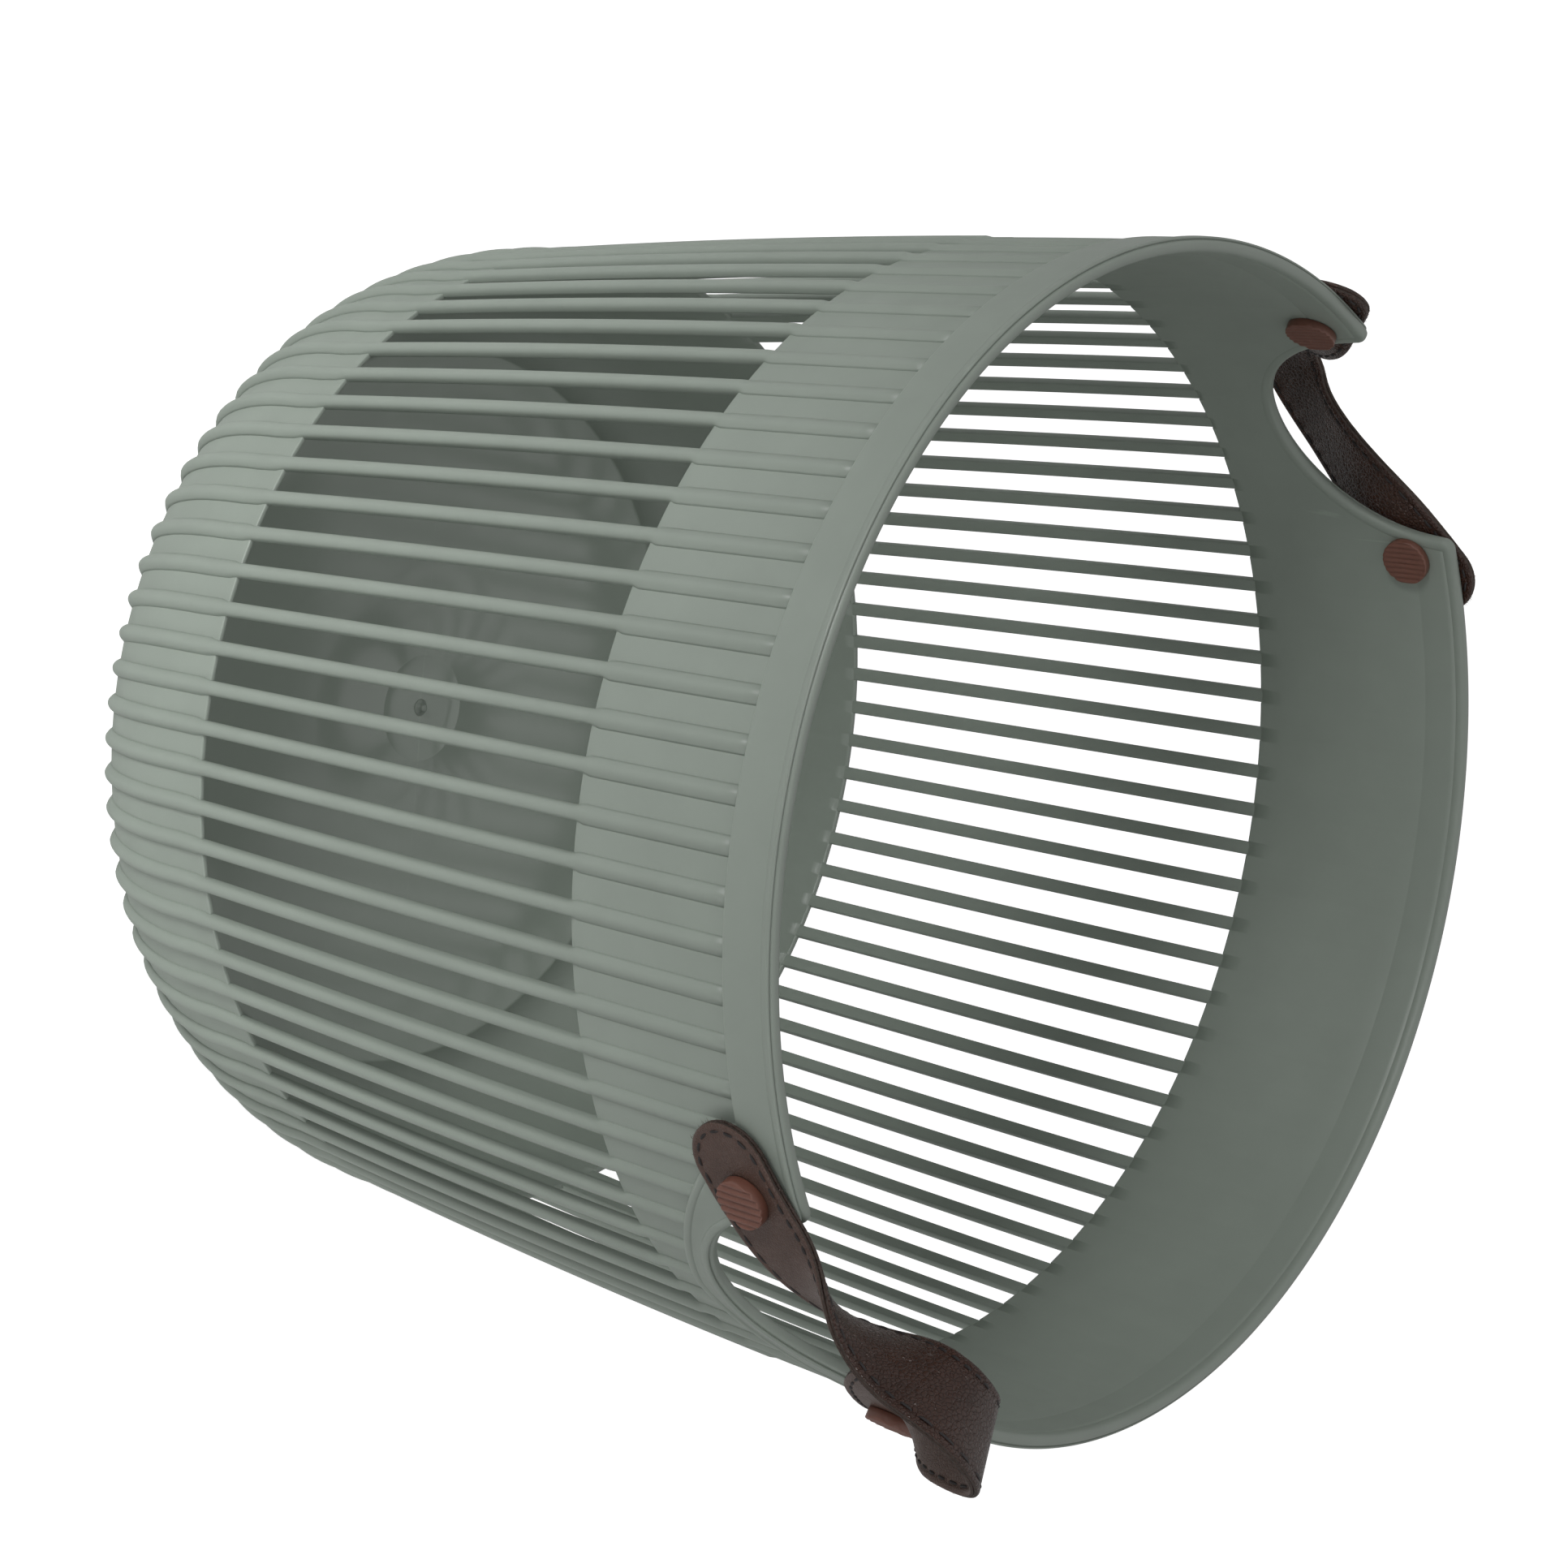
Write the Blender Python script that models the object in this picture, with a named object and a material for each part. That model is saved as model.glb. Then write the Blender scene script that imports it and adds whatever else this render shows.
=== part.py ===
"""Storage basket: a slotted, ribbed round basket with two stitched strap handles held by ridged studs.

Metres, +Z up. The origin is the centre of the flat base. The near handle faces -X and the far one +X.
Left and right are a handle's ends, seen from inside the basket: the far handle's left end is at +Y.
"""

import math

import bmesh
import bpy
from mathutils import Matrix, Vector

# Basket body: heights above the base
BASKET_HEIGHT = 0.303
SLOT_TOP_HEIGHT = 0.2278
SLOT_BOTTOM_HEIGHT = 0.0659
SHOULDER_HEIGHT = 0.054
RIM_STRIP_HEIGHT = 0.0175

# Basket body: the inner wall's radius at the rim, and its curve as pairs of the height's share
# and that radius's share
RIM_INNER_RADIUS = 0.1722
WALL_CURVE_SHARES = ((0.2175, 0.8984), (0.7518, 0.97735), (1.0, 1.0))
SHOULDER_DEPTH = 0.030

# Basket body: thicknesses, ribs and slots. The first rib stands a share of a rib's pitch past +X
WALL = 0.0018
FLOOR_THICKNESS = 0.0025
RIB_COUNT = 82
RIB_START_SHARE = 0.9
RIB_WIDTH = 0.0044
RIB_CREST_WIDTH = 0.0022
RIB_PROUD = 0.0020
RIM_STRIP_PROUD = 0.0023
RIM_EDGE_ROUNDING = 0.0010

# Handle notch in the rim, and the smooth flange below it
NOTCH_HALF_WIDTH = 0.0435
NOTCH_DEPTH = 0.050
NOTCH_CORNER_RADIUS = 0.004
FLANGE_HALF_WIDTH = 0.070
FLANGE_DEPTH = 0.059
FLANGE_TOP_DEPTH = 0.012
FLANGE_SHY_OF_STRIP = 0.00015
FLANGE_ROUNDNESS = 1.45

# Studs
STUD_SPREAD = 0.052
STUD_DEPTH = 0.016
STUD_RADIUS = 0.0077
STUD_HEAD = 0.0032
CAP_HEAD = 0.0022
RIDGE_HEIGHT = 0.0007
RIDGE_COUNT = 6
PIN_RADIUS = 0.0023
SOCKET_DEPTH = 0.0013

# Straps
STRAP_WIDTH = 0.027
STRAP_LAYER = 0.0012
STRAP_TAIL = 0.023

# Clearances
GAP = 0.0003
STRAP_STAND_OFF = 0.0005
HOLE_CLEARANCE = 0.0003
SPLIT_GAP = 0.0005
OVERRUN = 0.010

# Near handle, standing up: how each half of its loop leaves the stud and meets the loop's middle,
# which lies outside and above the rim's outer edge
NEAR_SPLIT = 0.034
NEAR_SEATED_RUN = 0.008
NEAR_MIDDLE_OUT = 0.0145
NEAR_MIDDLE_RISE = 0.0487
NEAR_TILT = math.radians(21.5)
NEAR_LEAVE_PULL = 0.046
NEAR_MIDDLE_PULL = 0.027
NEAR_TURN = math.radians(74)
NEAR_TURN_SHARE = 0.66

# Far handle, hanging down: the same, with a middle below the rim and a right half that differs
FAR_SPLIT = 0.037
FAR_SEATED_RUN = 0.012
FAR_MIDDLE_OUT = 0.0258
FAR_MIDDLE_ACROSS = 0.002
FAR_MIDDLE_DROP = 0.0632
FAR_SLOPE = (0.08, -1.0, -0.15)
FAR_LEFT_TILT = math.radians(-38)
FAR_RIGHT_TILT = math.radians(-33)
FAR_LEAVE_PULL = 0.020
FAR_LEFT_PULL = 0.028
FAR_RIGHT_PULL = 0.030
FAR_TURN = math.radians(-10)

# Fineness of the meshes: counts of rows, sides and steps, and the degrees at which curves have rows
HALF_ROWS = 26
CURVE_SAMPLES = 100
ROUND_SIDES = 24
PIN_SIDES = 12
FLANGE_COLUMNS = 28
NOTCH_CORNER_STEPS = 4
NOTCH_CURVE_STEPS = 12
RIDGE_SAMPLES = 4
TAIL_TURNS = (15, 34, 53, 72, 90)
SHOULDER_TURNS_OUTSIDE = (0, 28, 58, 90)
SHOULDER_TURNS_INSIDE = (0, 35, 65, 90)


def clear_scene():
    for thing in list(bpy.data.objects):
        bpy.data.objects.remove(thing, do_unlink=True)


def material(name, colour, roughness, metallic=0.0):
    made = bpy.data.materials.new(name)
    made.use_nodes = True
    shader = made.node_tree.nodes["Principled BSDF"]
    shader.inputs["Base Color"].default_value = (*colour, 1.0)
    shader.inputs["Roughness"].default_value = roughness
    shader.inputs["Metallic"].default_value = metallic
    made.diffuse_color = (*colour, 1.0)
    return made


def node(name, mesh_builder, finish, smooth=False):
    """Turns a bmesh into a named object with one material."""
    mesh = bpy.data.meshes.new(name)
    mesh_builder.to_mesh(mesh)
    mesh_builder.free()
    for face in mesh.polygons:
        face.use_smooth = smooth
    made = bpy.data.objects.new(name, mesh)
    bpy.context.scene.collection.objects.link(made)
    mesh.materials.append(finish)
    return made


def hide_cutter(cutter):
    cutter.hide_render = True
    cutter.display_type = "WIRE"
    return cutter


def add_boolean(target, other, operation):
    change = target.modifiers.new(operation.title(), "BOOLEAN")
    change.operation = operation
    change.object = other
    change.solver = "EXACT"


def inner_radius(height):
    """The inner wall's radius: one gentle curve through its three measured places."""
    share = height / BASKET_HEIGHT
    total = 0.0
    for own, radius_share in WALL_CURVE_SHARES:
        weight = 1.0
        for other, _ in WALL_CURVE_SHARES:
            if other != own:
                weight *= (share - other) / (own - other)
        total += weight * radius_share
    return total * RIM_INNER_RADIUS


def wall_radius(height):
    return inner_radius(height) + WALL


def strip_radius(height):
    return wall_radius(height) + RIM_STRIP_PROUD


def shoulder_point(turn, outside):
    """Radius and height on the rounded shoulder, from the base at turn 0 to the wall at turn 90 degrees."""
    skin = 0.0 if outside else WALL
    floor = 0.0 if outside else FLOOR_THICKNESS
    top_radius = wall_radius(SHOULDER_HEIGHT)
    middle = top_radius - SHOULDER_DEPTH
    radius = middle + (SHOULDER_DEPTH - skin) * math.sin(turn)
    height = SHOULDER_HEIGHT - (SHOULDER_HEIGHT - floor) * math.cos(turn)
    return radius, height


def ring_of_body(builder, radius, height, proud, outside):
    """One level of the body: four points for each rib outside, two for each rib inside."""
    ring = []
    for index in range(RIB_COUNT):
        centre = 2 * math.pi * (index + RIB_START_SHARE) / RIB_COUNT
        if outside:
            offsets = (-RIB_WIDTH / 2, -RIB_CREST_WIDTH / 2, RIB_CREST_WIDTH / 2, RIB_WIDTH / 2)
            lifts = (0.0, proud, proud, 0.0)
        else:
            offsets = (-RIB_WIDTH / 2, RIB_WIDTH / 2)
            lifts = (0.0, 0.0)
        for offset, lift in zip(offsets, lifts):
            angle = centre + offset / radius
            reach = radius + lift
            point = (reach * math.cos(angle), reach * math.sin(angle), height)
            ring.append(builder.verts.new(point))
    return ring


def skin_between(builder, lower, upper, flip, slots=False):
    """Faces between two levels. With slots, only the stretch that each rib covers."""
    points = len(lower) // RIB_COUNT
    for start in range(0, len(lower), points):
        for step in range(points):
            if slots and step == points - 1:
                continue
            here = start + step
            after = (here + 1) % len(lower)
            corners = [lower[here], lower[after], upper[after], upper[here]]
            builder.faces.new(corners[::-1] if flip else corners)


def bar_sides(builder, lower_out, upper_out, lower_in, upper_in):
    """The two side faces of each bar, between the slots."""
    for index in range(RIB_COUNT):
        first, last = 4 * index, 4 * index + 3
        left, right = 2 * index, 2 * index + 1
        builder.faces.new((lower_in[left], lower_out[first], upper_out[first], upper_in[left]))
        builder.faces.new((lower_out[last], lower_in[right], upper_in[right], upper_out[last]))


def slot_ledges(builder, outer, inner, flip):
    """The faces that end each slot, between the outer and the inner skin."""
    for index in range(RIB_COUNT):
        after = (index + 1) % RIB_COUNT
        corners = [outer[4 * index + 3], outer[4 * after], inner[2 * after], inner[2 * index + 1]]
        builder.faces.new(corners[::-1] if flip else corners)


def rim_top(builder, outer, inner):
    for index in range(RIB_COUNT):
        first, left = 4 * index, 2 * index
        after = (index + 1) % RIB_COUNT
        over_rib = outer[first : first + 4] + [inner[left + 1], inner[left]]
        builder.faces.new(over_rib)
        between = [outer[first + 3], outer[4 * after], inner[2 * after], inner[left + 1]]
        builder.faces.new(between)


def close_disc(builder, ring, height, flip):
    centre = builder.verts.new((0.0, 0.0, height))
    for here, start in enumerate(ring):
        corners = [start, ring[(here + 1) % len(ring)], centre]
        builder.faces.new(corners[::-1] if flip else corners)


def build_plain_body(finish):
    """The moulding before its handle notches: floor, shoulder, bands, bars, ribs and rim strip.

    Its leaning faces are cut into triangles, which the Booleans need to be flat.
    """
    builder = bmesh.new()
    slot_span = SLOT_TOP_HEIGHT - SLOT_BOTTOM_HEIGHT
    bar_heights = [SLOT_BOTTOM_HEIGHT, SLOT_BOTTOM_HEIGHT + slot_span / 2, SLOT_TOP_HEIGHT]
    strip_bottom = BASKET_HEIGHT - RIM_STRIP_HEIGHT
    edge_height = BASKET_HEIGHT - RIM_EDGE_ROUNDING

    shoulder_out = []
    for degrees in SHOULDER_TURNS_OUTSIDE:
        radius, height = shoulder_point(math.radians(degrees), True)
        proud = 0.0 if degrees == 0 else RIB_PROUD
        shoulder_out.append(ring_of_body(builder, radius, height, proud, True))
    bars_out = []
    bars_in = []
    for height in bar_heights:
        bars_out.append(ring_of_body(builder, wall_radius(height), height, RIB_PROUD, True))
        bars_in.append(ring_of_body(builder, inner_radius(height), height, 0.0, False))
    rib_end = ring_of_body(builder, wall_radius(strip_bottom), strip_bottom, RIB_PROUD, True)
    strip_low = ring_of_body(builder, strip_radius(strip_bottom), strip_bottom, 0.0, True)
    strip_high = ring_of_body(builder, strip_radius(edge_height), edge_height, 0.0, True)
    top_out_radius = strip_radius(BASKET_HEIGHT) - RIM_EDGE_ROUNDING
    top_in_radius = inner_radius(BASKET_HEIGHT) + RIM_EDGE_ROUNDING
    top_out = ring_of_body(builder, top_out_radius, BASKET_HEIGHT, 0.0, True)
    top_in = ring_of_body(builder, top_in_radius, BASKET_HEIGHT, 0.0, False)
    edge_in = ring_of_body(builder, inner_radius(edge_height), edge_height, 0.0, False)
    shoulder_in = []
    for degrees in SHOULDER_TURNS_INSIDE:
        radius, height = shoulder_point(math.radians(degrees), False)
        shoulder_in.append(ring_of_body(builder, radius, height, 0.0, False))

    outside = shoulder_out + [bars_out[0]]
    for lower, upper in zip(outside, outside[1:]):
        skin_between(builder, lower, upper, False)
    for level in range(len(bar_heights) - 1):
        low_out, high_out = bars_out[level], bars_out[level + 1]
        low_in, high_in = bars_in[level], bars_in[level + 1]
        skin_between(builder, low_out, high_out, False, slots=True)
        skin_between(builder, low_in, high_in, True, slots=True)
        bar_sides(builder, low_out, high_out, low_in, high_in)
    slot_ledges(builder, bars_out[0], bars_in[0], False)
    slot_ledges(builder, bars_out[-1], bars_in[-1], True)
    rim = [bars_out[-1], rib_end, strip_low, strip_high, top_out]
    for lower, upper in zip(rim, rim[1:]):
        skin_between(builder, lower, upper, False)
    rim_top(builder, top_out, top_in)
    inside = shoulder_in + [bars_in[0]]
    for lower, upper in zip(inside, inside[1:]):
        skin_between(builder, lower, upper, True)
    skin_between(builder, bars_in[-1], edge_in, True)
    skin_between(builder, edge_in, top_in, True)
    close_disc(builder, shoulder_out[0], 0.0, True)
    close_disc(builder, shoulder_in[0], FLOOR_THICKNESS, False)
    bmesh.ops.triangulate(builder, faces=builder.faces)
    return node("basket_body", builder, finish)


def flange_edge_depth(across):
    """How far below the rim the flange's border lies, at a distance along the rim from its middle."""
    share = min(abs(across) / FLANGE_HALF_WIDTH, 1.0)
    drop = (1.0 - share**FLANGE_ROUNDNESS) ** (1.0 / FLANGE_ROUNDNESS)
    return FLANGE_TOP_DEPTH + (FLANGE_DEPTH - FLANGE_TOP_DEPTH) * drop


def add_flange(builder, side):
    """A smooth raised plate on the wall, from the rim strip to its curved border."""
    columns = []
    rim_reach = strip_radius(BASKET_HEIGHT)
    for column in range(1, FLANGE_COLUMNS):
        across = FLANGE_HALF_WIDTH * (2 * column / FLANGE_COLUMNS - 1)
        angle = across / rim_reach + (0.0 if side > 0 else math.pi)
        direction = Vector((math.cos(angle), math.sin(angle), 0.0))
        corners = []
        for depth in (flange_edge_depth(across), FLANGE_TOP_DEPTH):
            height = BASKET_HEIGHT - depth
            outer = strip_radius(height) - FLANGE_SHY_OF_STRIP
            inner = inner_radius(height) + WALL / 2
            for reach in (inner, outer):
                corners.append(builder.verts.new(direction * reach + Vector((0, 0, height))))
        low_in, low_out, high_in, high_out = corners
        columns.append((low_in, low_out, high_out, high_in))
    for before, after in zip(columns, columns[1:]):
        for corner in range(4):
            follow = (corner + 1) % 4
            faces = (before[corner], after[corner], after[follow], before[follow])
            builder.faces.new(faces)
    builder.faces.new(columns[0])
    builder.faces.new(columns[-1][::-1])


def build_flange_former(finish):
    """Both handles' flanges, which join the body in one step."""
    builder = bmesh.new()
    for side in (1, -1):
        add_flange(builder, side)
    bmesh.ops.recalc_face_normals(builder, faces=builder.faces)
    return hide_cutter(node("flange_former", builder, finish))


def add_notch_prism(builder):
    """A prism through both walls: half an ellipse below the rim, with rounded corners where it opens."""
    outline = [(NOTCH_HALF_WIDTH + NOTCH_CORNER_RADIUS, BASKET_HEIGHT + OVERRUN)]
    for step in range(NOTCH_CORNER_STEPS + 1):
        turn = math.pi / 2 * (1 + step / NOTCH_CORNER_STEPS)
        across = NOTCH_HALF_WIDTH + NOTCH_CORNER_RADIUS * (1 + math.cos(turn))
        height = BASKET_HEIGHT + NOTCH_CORNER_RADIUS * (math.sin(turn) - 1)
        outline.append((across, height))
    lowest_turn = math.asin(NOTCH_CORNER_RADIUS / NOTCH_DEPTH)
    for step in range(1, NOTCH_CURVE_STEPS + 1):
        turn = lowest_turn + (math.pi / 2 - lowest_turn) * step / NOTCH_CURVE_STEPS
        across = NOTCH_HALF_WIDTH * math.cos(turn)
        height = BASKET_HEIGHT - NOTCH_DEPTH * math.sin(turn)
        outline.append((across, height))
    mirrored = [(-across, height) for across, height in outline[-2::-1]]
    reach = strip_radius(BASKET_HEIGHT) + OVERRUN
    ends = []
    for x in (-reach, reach):
        ends.append([builder.verts.new((x, across, height)) for across, height in outline + mirrored])
    count = len(ends[0])
    for here in range(count):
        after = (here + 1) % count
        builder.faces.new((ends[0][here], ends[0][after], ends[1][after], ends[1][here]))
    builder.faces.new(ends[0][::-1])
    builder.faces.new(ends[1])


def stud_frame(side, hand):
    """The matrix at a stud: X along the rim, Y up the wall, Z out of the wall, origin on the inner wall."""
    height = BASKET_HEIGHT - STUD_DEPTH
    angle = hand * STUD_SPREAD / strip_radius(height) + (0.0 if side > 0 else math.pi)
    outward = Vector((math.cos(angle), math.sin(angle), 0.0))
    along = Vector((-math.sin(angle), math.cos(angle), 0.0))
    lean = math.atan2(inner_radius(BASKET_HEIGHT) - inner_radius(height), STUD_DEPTH)
    up = (Vector((0, 0, 1)) * math.cos(lean) + outward * math.sin(lean)).normalized()
    normal = along.cross(up)
    origin = outward * inner_radius(height) + Vector((0, 0, height))
    columns = Matrix((along, up, normal)).transposed().to_4x4()
    return Matrix.Translation(origin) @ columns


def add_pin_holes(builder):
    """Pins' holes through the wall and the strap ends, for all the studs."""
    depth = WALL + RIM_STRIP_PROUD + 2 * STRAP_LAYER + 2 * OVERRUN
    for side in (1, -1):
        for hand in (1, -1):
            place = stud_frame(side, hand) @ Matrix.Translation((0, 0, depth / 2 - OVERRUN))
            bmesh.ops.create_cone(
                builder,
                cap_ends=True,
                segments=PIN_SIDES,
                radius1=PIN_RADIUS + HOLE_CLEARANCE,
                radius2=PIN_RADIUS + HOLE_CLEARANCE,
                depth=depth,
                matrix=place,
            )


def build_cutter(name, finish, *shapes):
    """One cutter from shapes that stand clear of one another."""
    builder = bmesh.new()
    for add_shape in shapes:
        add_shape(builder)
    bmesh.ops.recalc_face_normals(builder, faces=builder.faces)
    return hide_cutter(node(name, builder, finish))


def lathe(builder, outline, sides, place):
    """A closed turned shape from (radius, height) points that start and end on the axis."""
    rings = []
    for radius, height in outline:
        if radius == 0:
            rings.append([builder.verts.new(place @ Vector((0, 0, height)))])
            continue
        ring = []
        for index in range(sides):
            angle = 2 * math.pi * index / sides
            point = Vector((radius * math.cos(angle), radius * math.sin(angle), height))
            ring.append(builder.verts.new(place @ point))
        rings.append(ring)
    for lower, upper in zip(rings, rings[1:]):
        for index in range(sides):
            after = (index + 1) % sides
            if len(lower) == 1:
                builder.faces.new((lower[0], upper[index], upper[after]))
            elif len(upper) == 1:
                builder.faces.new((lower[index], lower[after], upper[0]))
            else:
                builder.faces.new((lower[index], lower[after], upper[after], upper[index]))
    bmesh.ops.recalc_face_normals(builder, faces=builder.faces)


def wavy_slab(builder, place, bottom, top):
    """A slab wider than the head, with a ridged upper face, that trims a turned disc."""
    half = STUD_RADIUS + GAP
    samples = RIDGE_SAMPLES * RIDGE_COUNT
    front = []
    back = []
    for edge, y in ((front, -half), (back, half)):
        for sample in range(samples + 1):
            x = half * (2 * sample / samples - 1)
            wave = RIDGE_HEIGHT * (1 - math.cos(2 * math.pi * sample / RIDGE_SAMPLES)) / 2
            edge.append(builder.verts.new(place @ Vector((x, y, top - wave))))
        edge.append(builder.verts.new(place @ Vector((half, y, bottom))))
        edge.append(builder.verts.new(place @ Vector((-half, y, bottom))))
    for here in range(len(front)):
        after = (here + 1) % len(front)
        builder.faces.new((front[here], front[after], back[after], back[here]))
    builder.faces.new(front)
    builder.faces.new(back[::-1])
    bmesh.ops.recalc_face_normals(builder, faces=builder.faces)


def ridged_disc(name, place, head, outline, finish):
    """A turned disc whose flat face carries ridges. place's Z points out of the ridged face."""
    builder = bmesh.new()
    lathe(builder, outline, ROUND_SIDES, place)
    disc = node(name, builder, finish)
    trimmer = bmesh.new()
    lowest = outline[0][1] - OVERRUN
    wavy_slab(trimmer, place, lowest, head)
    slab = hide_cutter(node(name + "_ridges", trimmer, finish))
    add_boolean(disc, slab, "INTERSECT")
    return disc


def strap_face_height():
    """Distance from the inner wall to the strap's outer face, at a stud."""
    return WALL + RIM_STRIP_PROUD + STRAP_STAND_OFF + 2 * STRAP_LAYER + GAP


def build_stud(name, side, hand, finish):
    """An outer stud: ridged head on the strap, and the pin that reaches into the inner cap."""
    seat = strap_face_height() + GAP
    tip = -(seat_slack() + SOCKET_DEPTH)
    outline = (
        (0.0, tip),
        (PIN_RADIUS, tip),
        (PIN_RADIUS, seat),
        (STUD_RADIUS, seat),
        (STUD_RADIUS, seat + STUD_HEAD),
        (0.0, seat + STUD_HEAD),
    )
    return ridged_disc(name, stud_frame(side, hand), seat + STUD_HEAD, outline, finish)


def seat_slack():
    """How far a flat disc of the studs' radius stands off the middle of the curved inner wall."""
    reach = inner_radius(BASKET_HEIGHT - STUD_DEPTH)
    return reach * (1 - math.cos(math.asin(STUD_RADIUS / reach)))


def build_cap(name, side, hand, finish):
    """An inner cap: ridged towards the basket's middle, with a socket for the pin."""
    seat = GAP + seat_slack()
    socket = PIN_RADIUS + HOLE_CLEARANCE
    turned = stud_frame(side, hand) @ Matrix.Rotation(math.pi, 4, "X")
    outline = (
        (0.0, seat + SOCKET_DEPTH),
        (socket, seat + SOCKET_DEPTH),
        (socket, seat),
        (STUD_RADIUS, seat),
        (STUD_RADIUS, seat + CAP_HEAD + RIDGE_HEIGHT),
        (0.0, seat + CAP_HEAD + RIDGE_HEIGHT),
    )
    return ridged_disc(name, turned, seat + CAP_HEAD + RIDGE_HEIGHT, outline, finish)


def strap_seat_radius():
    """Radius of the strap's middle surface where it lies on the flange."""
    height = BASKET_HEIGHT - STUD_DEPTH
    return strip_radius(height) + STRAP_STAND_OFF + STRAP_LAYER + GAP / 2


def seated_place(travel, tilt):
    """A point, heading and normal of the strap on the wall, for the handle at +X and its end at +Y."""
    stud_height = BASKET_HEIGHT - STUD_DEPTH
    stud_reach = strip_radius(stud_height)
    height = stud_height + travel * math.sin(tilt)
    reach = strap_seat_radius() + strip_radius(height) - stud_reach
    angle = (STUD_SPREAD - travel * math.cos(tilt)) / stud_reach
    outward = Vector((math.cos(angle), math.sin(angle), 0.0))
    along = Vector((math.sin(angle), -math.cos(angle), 0.0))
    point = outward * reach + Vector((0, 0, height))
    lean = math.atan2(inner_radius(BASKET_HEIGHT) - inner_radius(stud_height), STUD_DEPTH)
    up = (Vector((0, 0, 1)) + outward * math.tan(lean)).normalized()
    ahead = (along * math.cos(tilt) + up * math.sin(tilt)).normalized()
    return point, ahead, up.cross(along).normalized()


def free_place(share, bend):
    """A point, heading and normal on the free curve from the stud, at share 0, to the middle, at share 1."""
    start, ahead, normal = seated_place(bend["seated"], bend["tilt"])
    finish = Vector(bend["middle"])
    slope = Vector(bend["slope"]).normalized()
    first = start + ahead * bend["leave_pull"]
    second = finish - slope * bend["middle_pull"]
    rest = 1 - share
    point = start * rest**3 + finish * share**3
    point += first * 3 * rest**2 * share + second * 3 * rest * share**2
    heading = (first - start) * rest**2 + (finish - second) * share**2
    heading += (second - first) * 2 * rest * share
    heading.normalize()
    base = normal * rest + Vector((share, 0.0, 0.0))
    base = (base - heading * base.dot(heading)).normalized()
    done = min(share / bend["turn_share"], 1.0)
    angle = bend["turn"] * done * done * (3 - 2 * done)
    facing = base * math.cos(angle) - heading.cross(base) * math.sin(angle)
    return point, heading, facing


def free_lengths(bend):
    """Pairs of length and share along the free curve, from the stud's flat run to the middle."""
    pairs = [(0.0, 0.0)]
    before = free_place(0.0, bend)[0]
    for step in range(1, CURVE_SAMPLES + 1):
        share = step / CURVE_SAMPLES
        point = free_place(share, bend)[0]
        pairs.append((pairs[-1][0] + (point - before).length, share))
        before = point
    return pairs


def strap_place(travel, bend):
    """A point, heading and normal at a length along the strap from the stud's centre."""
    if travel <= bend["seated"]:
        return seated_place(travel, bend["tilt"])
    beyond = travel - bend["seated"]
    for before, after in zip(bend["lengths"], bend["lengths"][1:]):
        if after[0] >= beyond:
            within = (beyond - before[0]) / (after[0] - before[0])
            return free_place(before[1] + (after[1] - before[1]) * within, bend)
    return free_place(1.0, bend)


def prepare_bend(bend):
    """Adds the free curve's lengths, and the whole length from the stud to the loop's middle."""
    bend["lengths"] = free_lengths(bend)
    bend["end"] = bend["seated"] + bend["lengths"][-1][0]
    return bend


def strap_row(place, width):
    """A row: its middle, the vector from there to one edge, and the normal."""
    point, ahead, normal = place
    return point, ahead.cross(normal).normalized() * width / 2, normal


def half_rows(bend):
    """Rows of half a strap, from its round tail to the loop's middle."""
    rows = []
    radius = STRAP_WIDTH / 2
    for degrees in TAIL_TURNS:
        turn = math.radians(degrees)
        place = seated_place(radius * (1 - math.cos(turn)) - STRAP_TAIL, bend["tilt"])
        rows.append(strap_row(place, STRAP_WIDTH * math.sin(turn)))
    first = radius - STRAP_TAIL
    run = bend["end"] - first
    for step in range(1, HALF_ROWS + 1):
        place = strap_place(first + run * step / HALF_ROWS, bend)
        rows.append(strap_row(place, STRAP_WIDTH))
    return rows


def mirrored(rows):
    """The same rows on the other side of the handle, in the opposite order."""
    flip = Vector((1.0, -1.0, 1.0))
    return [(point * flip, edge * flip, normal * flip) for point, edge, normal in rows[::-1]]


def swept_strip(rows, low, high):
    """A closed strip through all the rows, between two offsets along their normals."""
    builder = bmesh.new()
    sections = []
    for point, edge, normal in rows:
        corners = (
            point - edge + normal * low,
            point + edge + normal * low,
            point + edge + normal * high,
            point - edge + normal * high,
        )
        sections.append([builder.verts.new(corner) for corner in corners])
    for before, after in zip(sections, sections[1:]):
        for corner in range(4):
            follow = (corner + 1) % 4
            faces = (before[corner], before[follow], after[follow], after[corner])
            builder.faces.new(faces)
    builder.faces.new(sections[0][::-1])
    builder.faces.new(sections[-1])
    bmesh.ops.triangulate(builder, faces=builder.faces)
    return builder


def keep_beyond(builder, across, hand):
    """Keeps the part of a strip with hand * y above hand * across, and closes the cut."""
    geometry = builder.verts[:] + builder.edges[:] + builder.faces[:]
    cut = bmesh.ops.bisect_plane(
        builder,
        geom=geometry,
        plane_co=(0.0, across, 0.0),
        plane_no=(0.0, hand, 0.0),
        clear_inner=True,
    )
    rim = [item for item in cut["geom_cut"] if isinstance(item, bmesh.types.BMEdge)]
    bmesh.ops.triangle_fill(builder, edges=rim, use_beauty=True)


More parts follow.
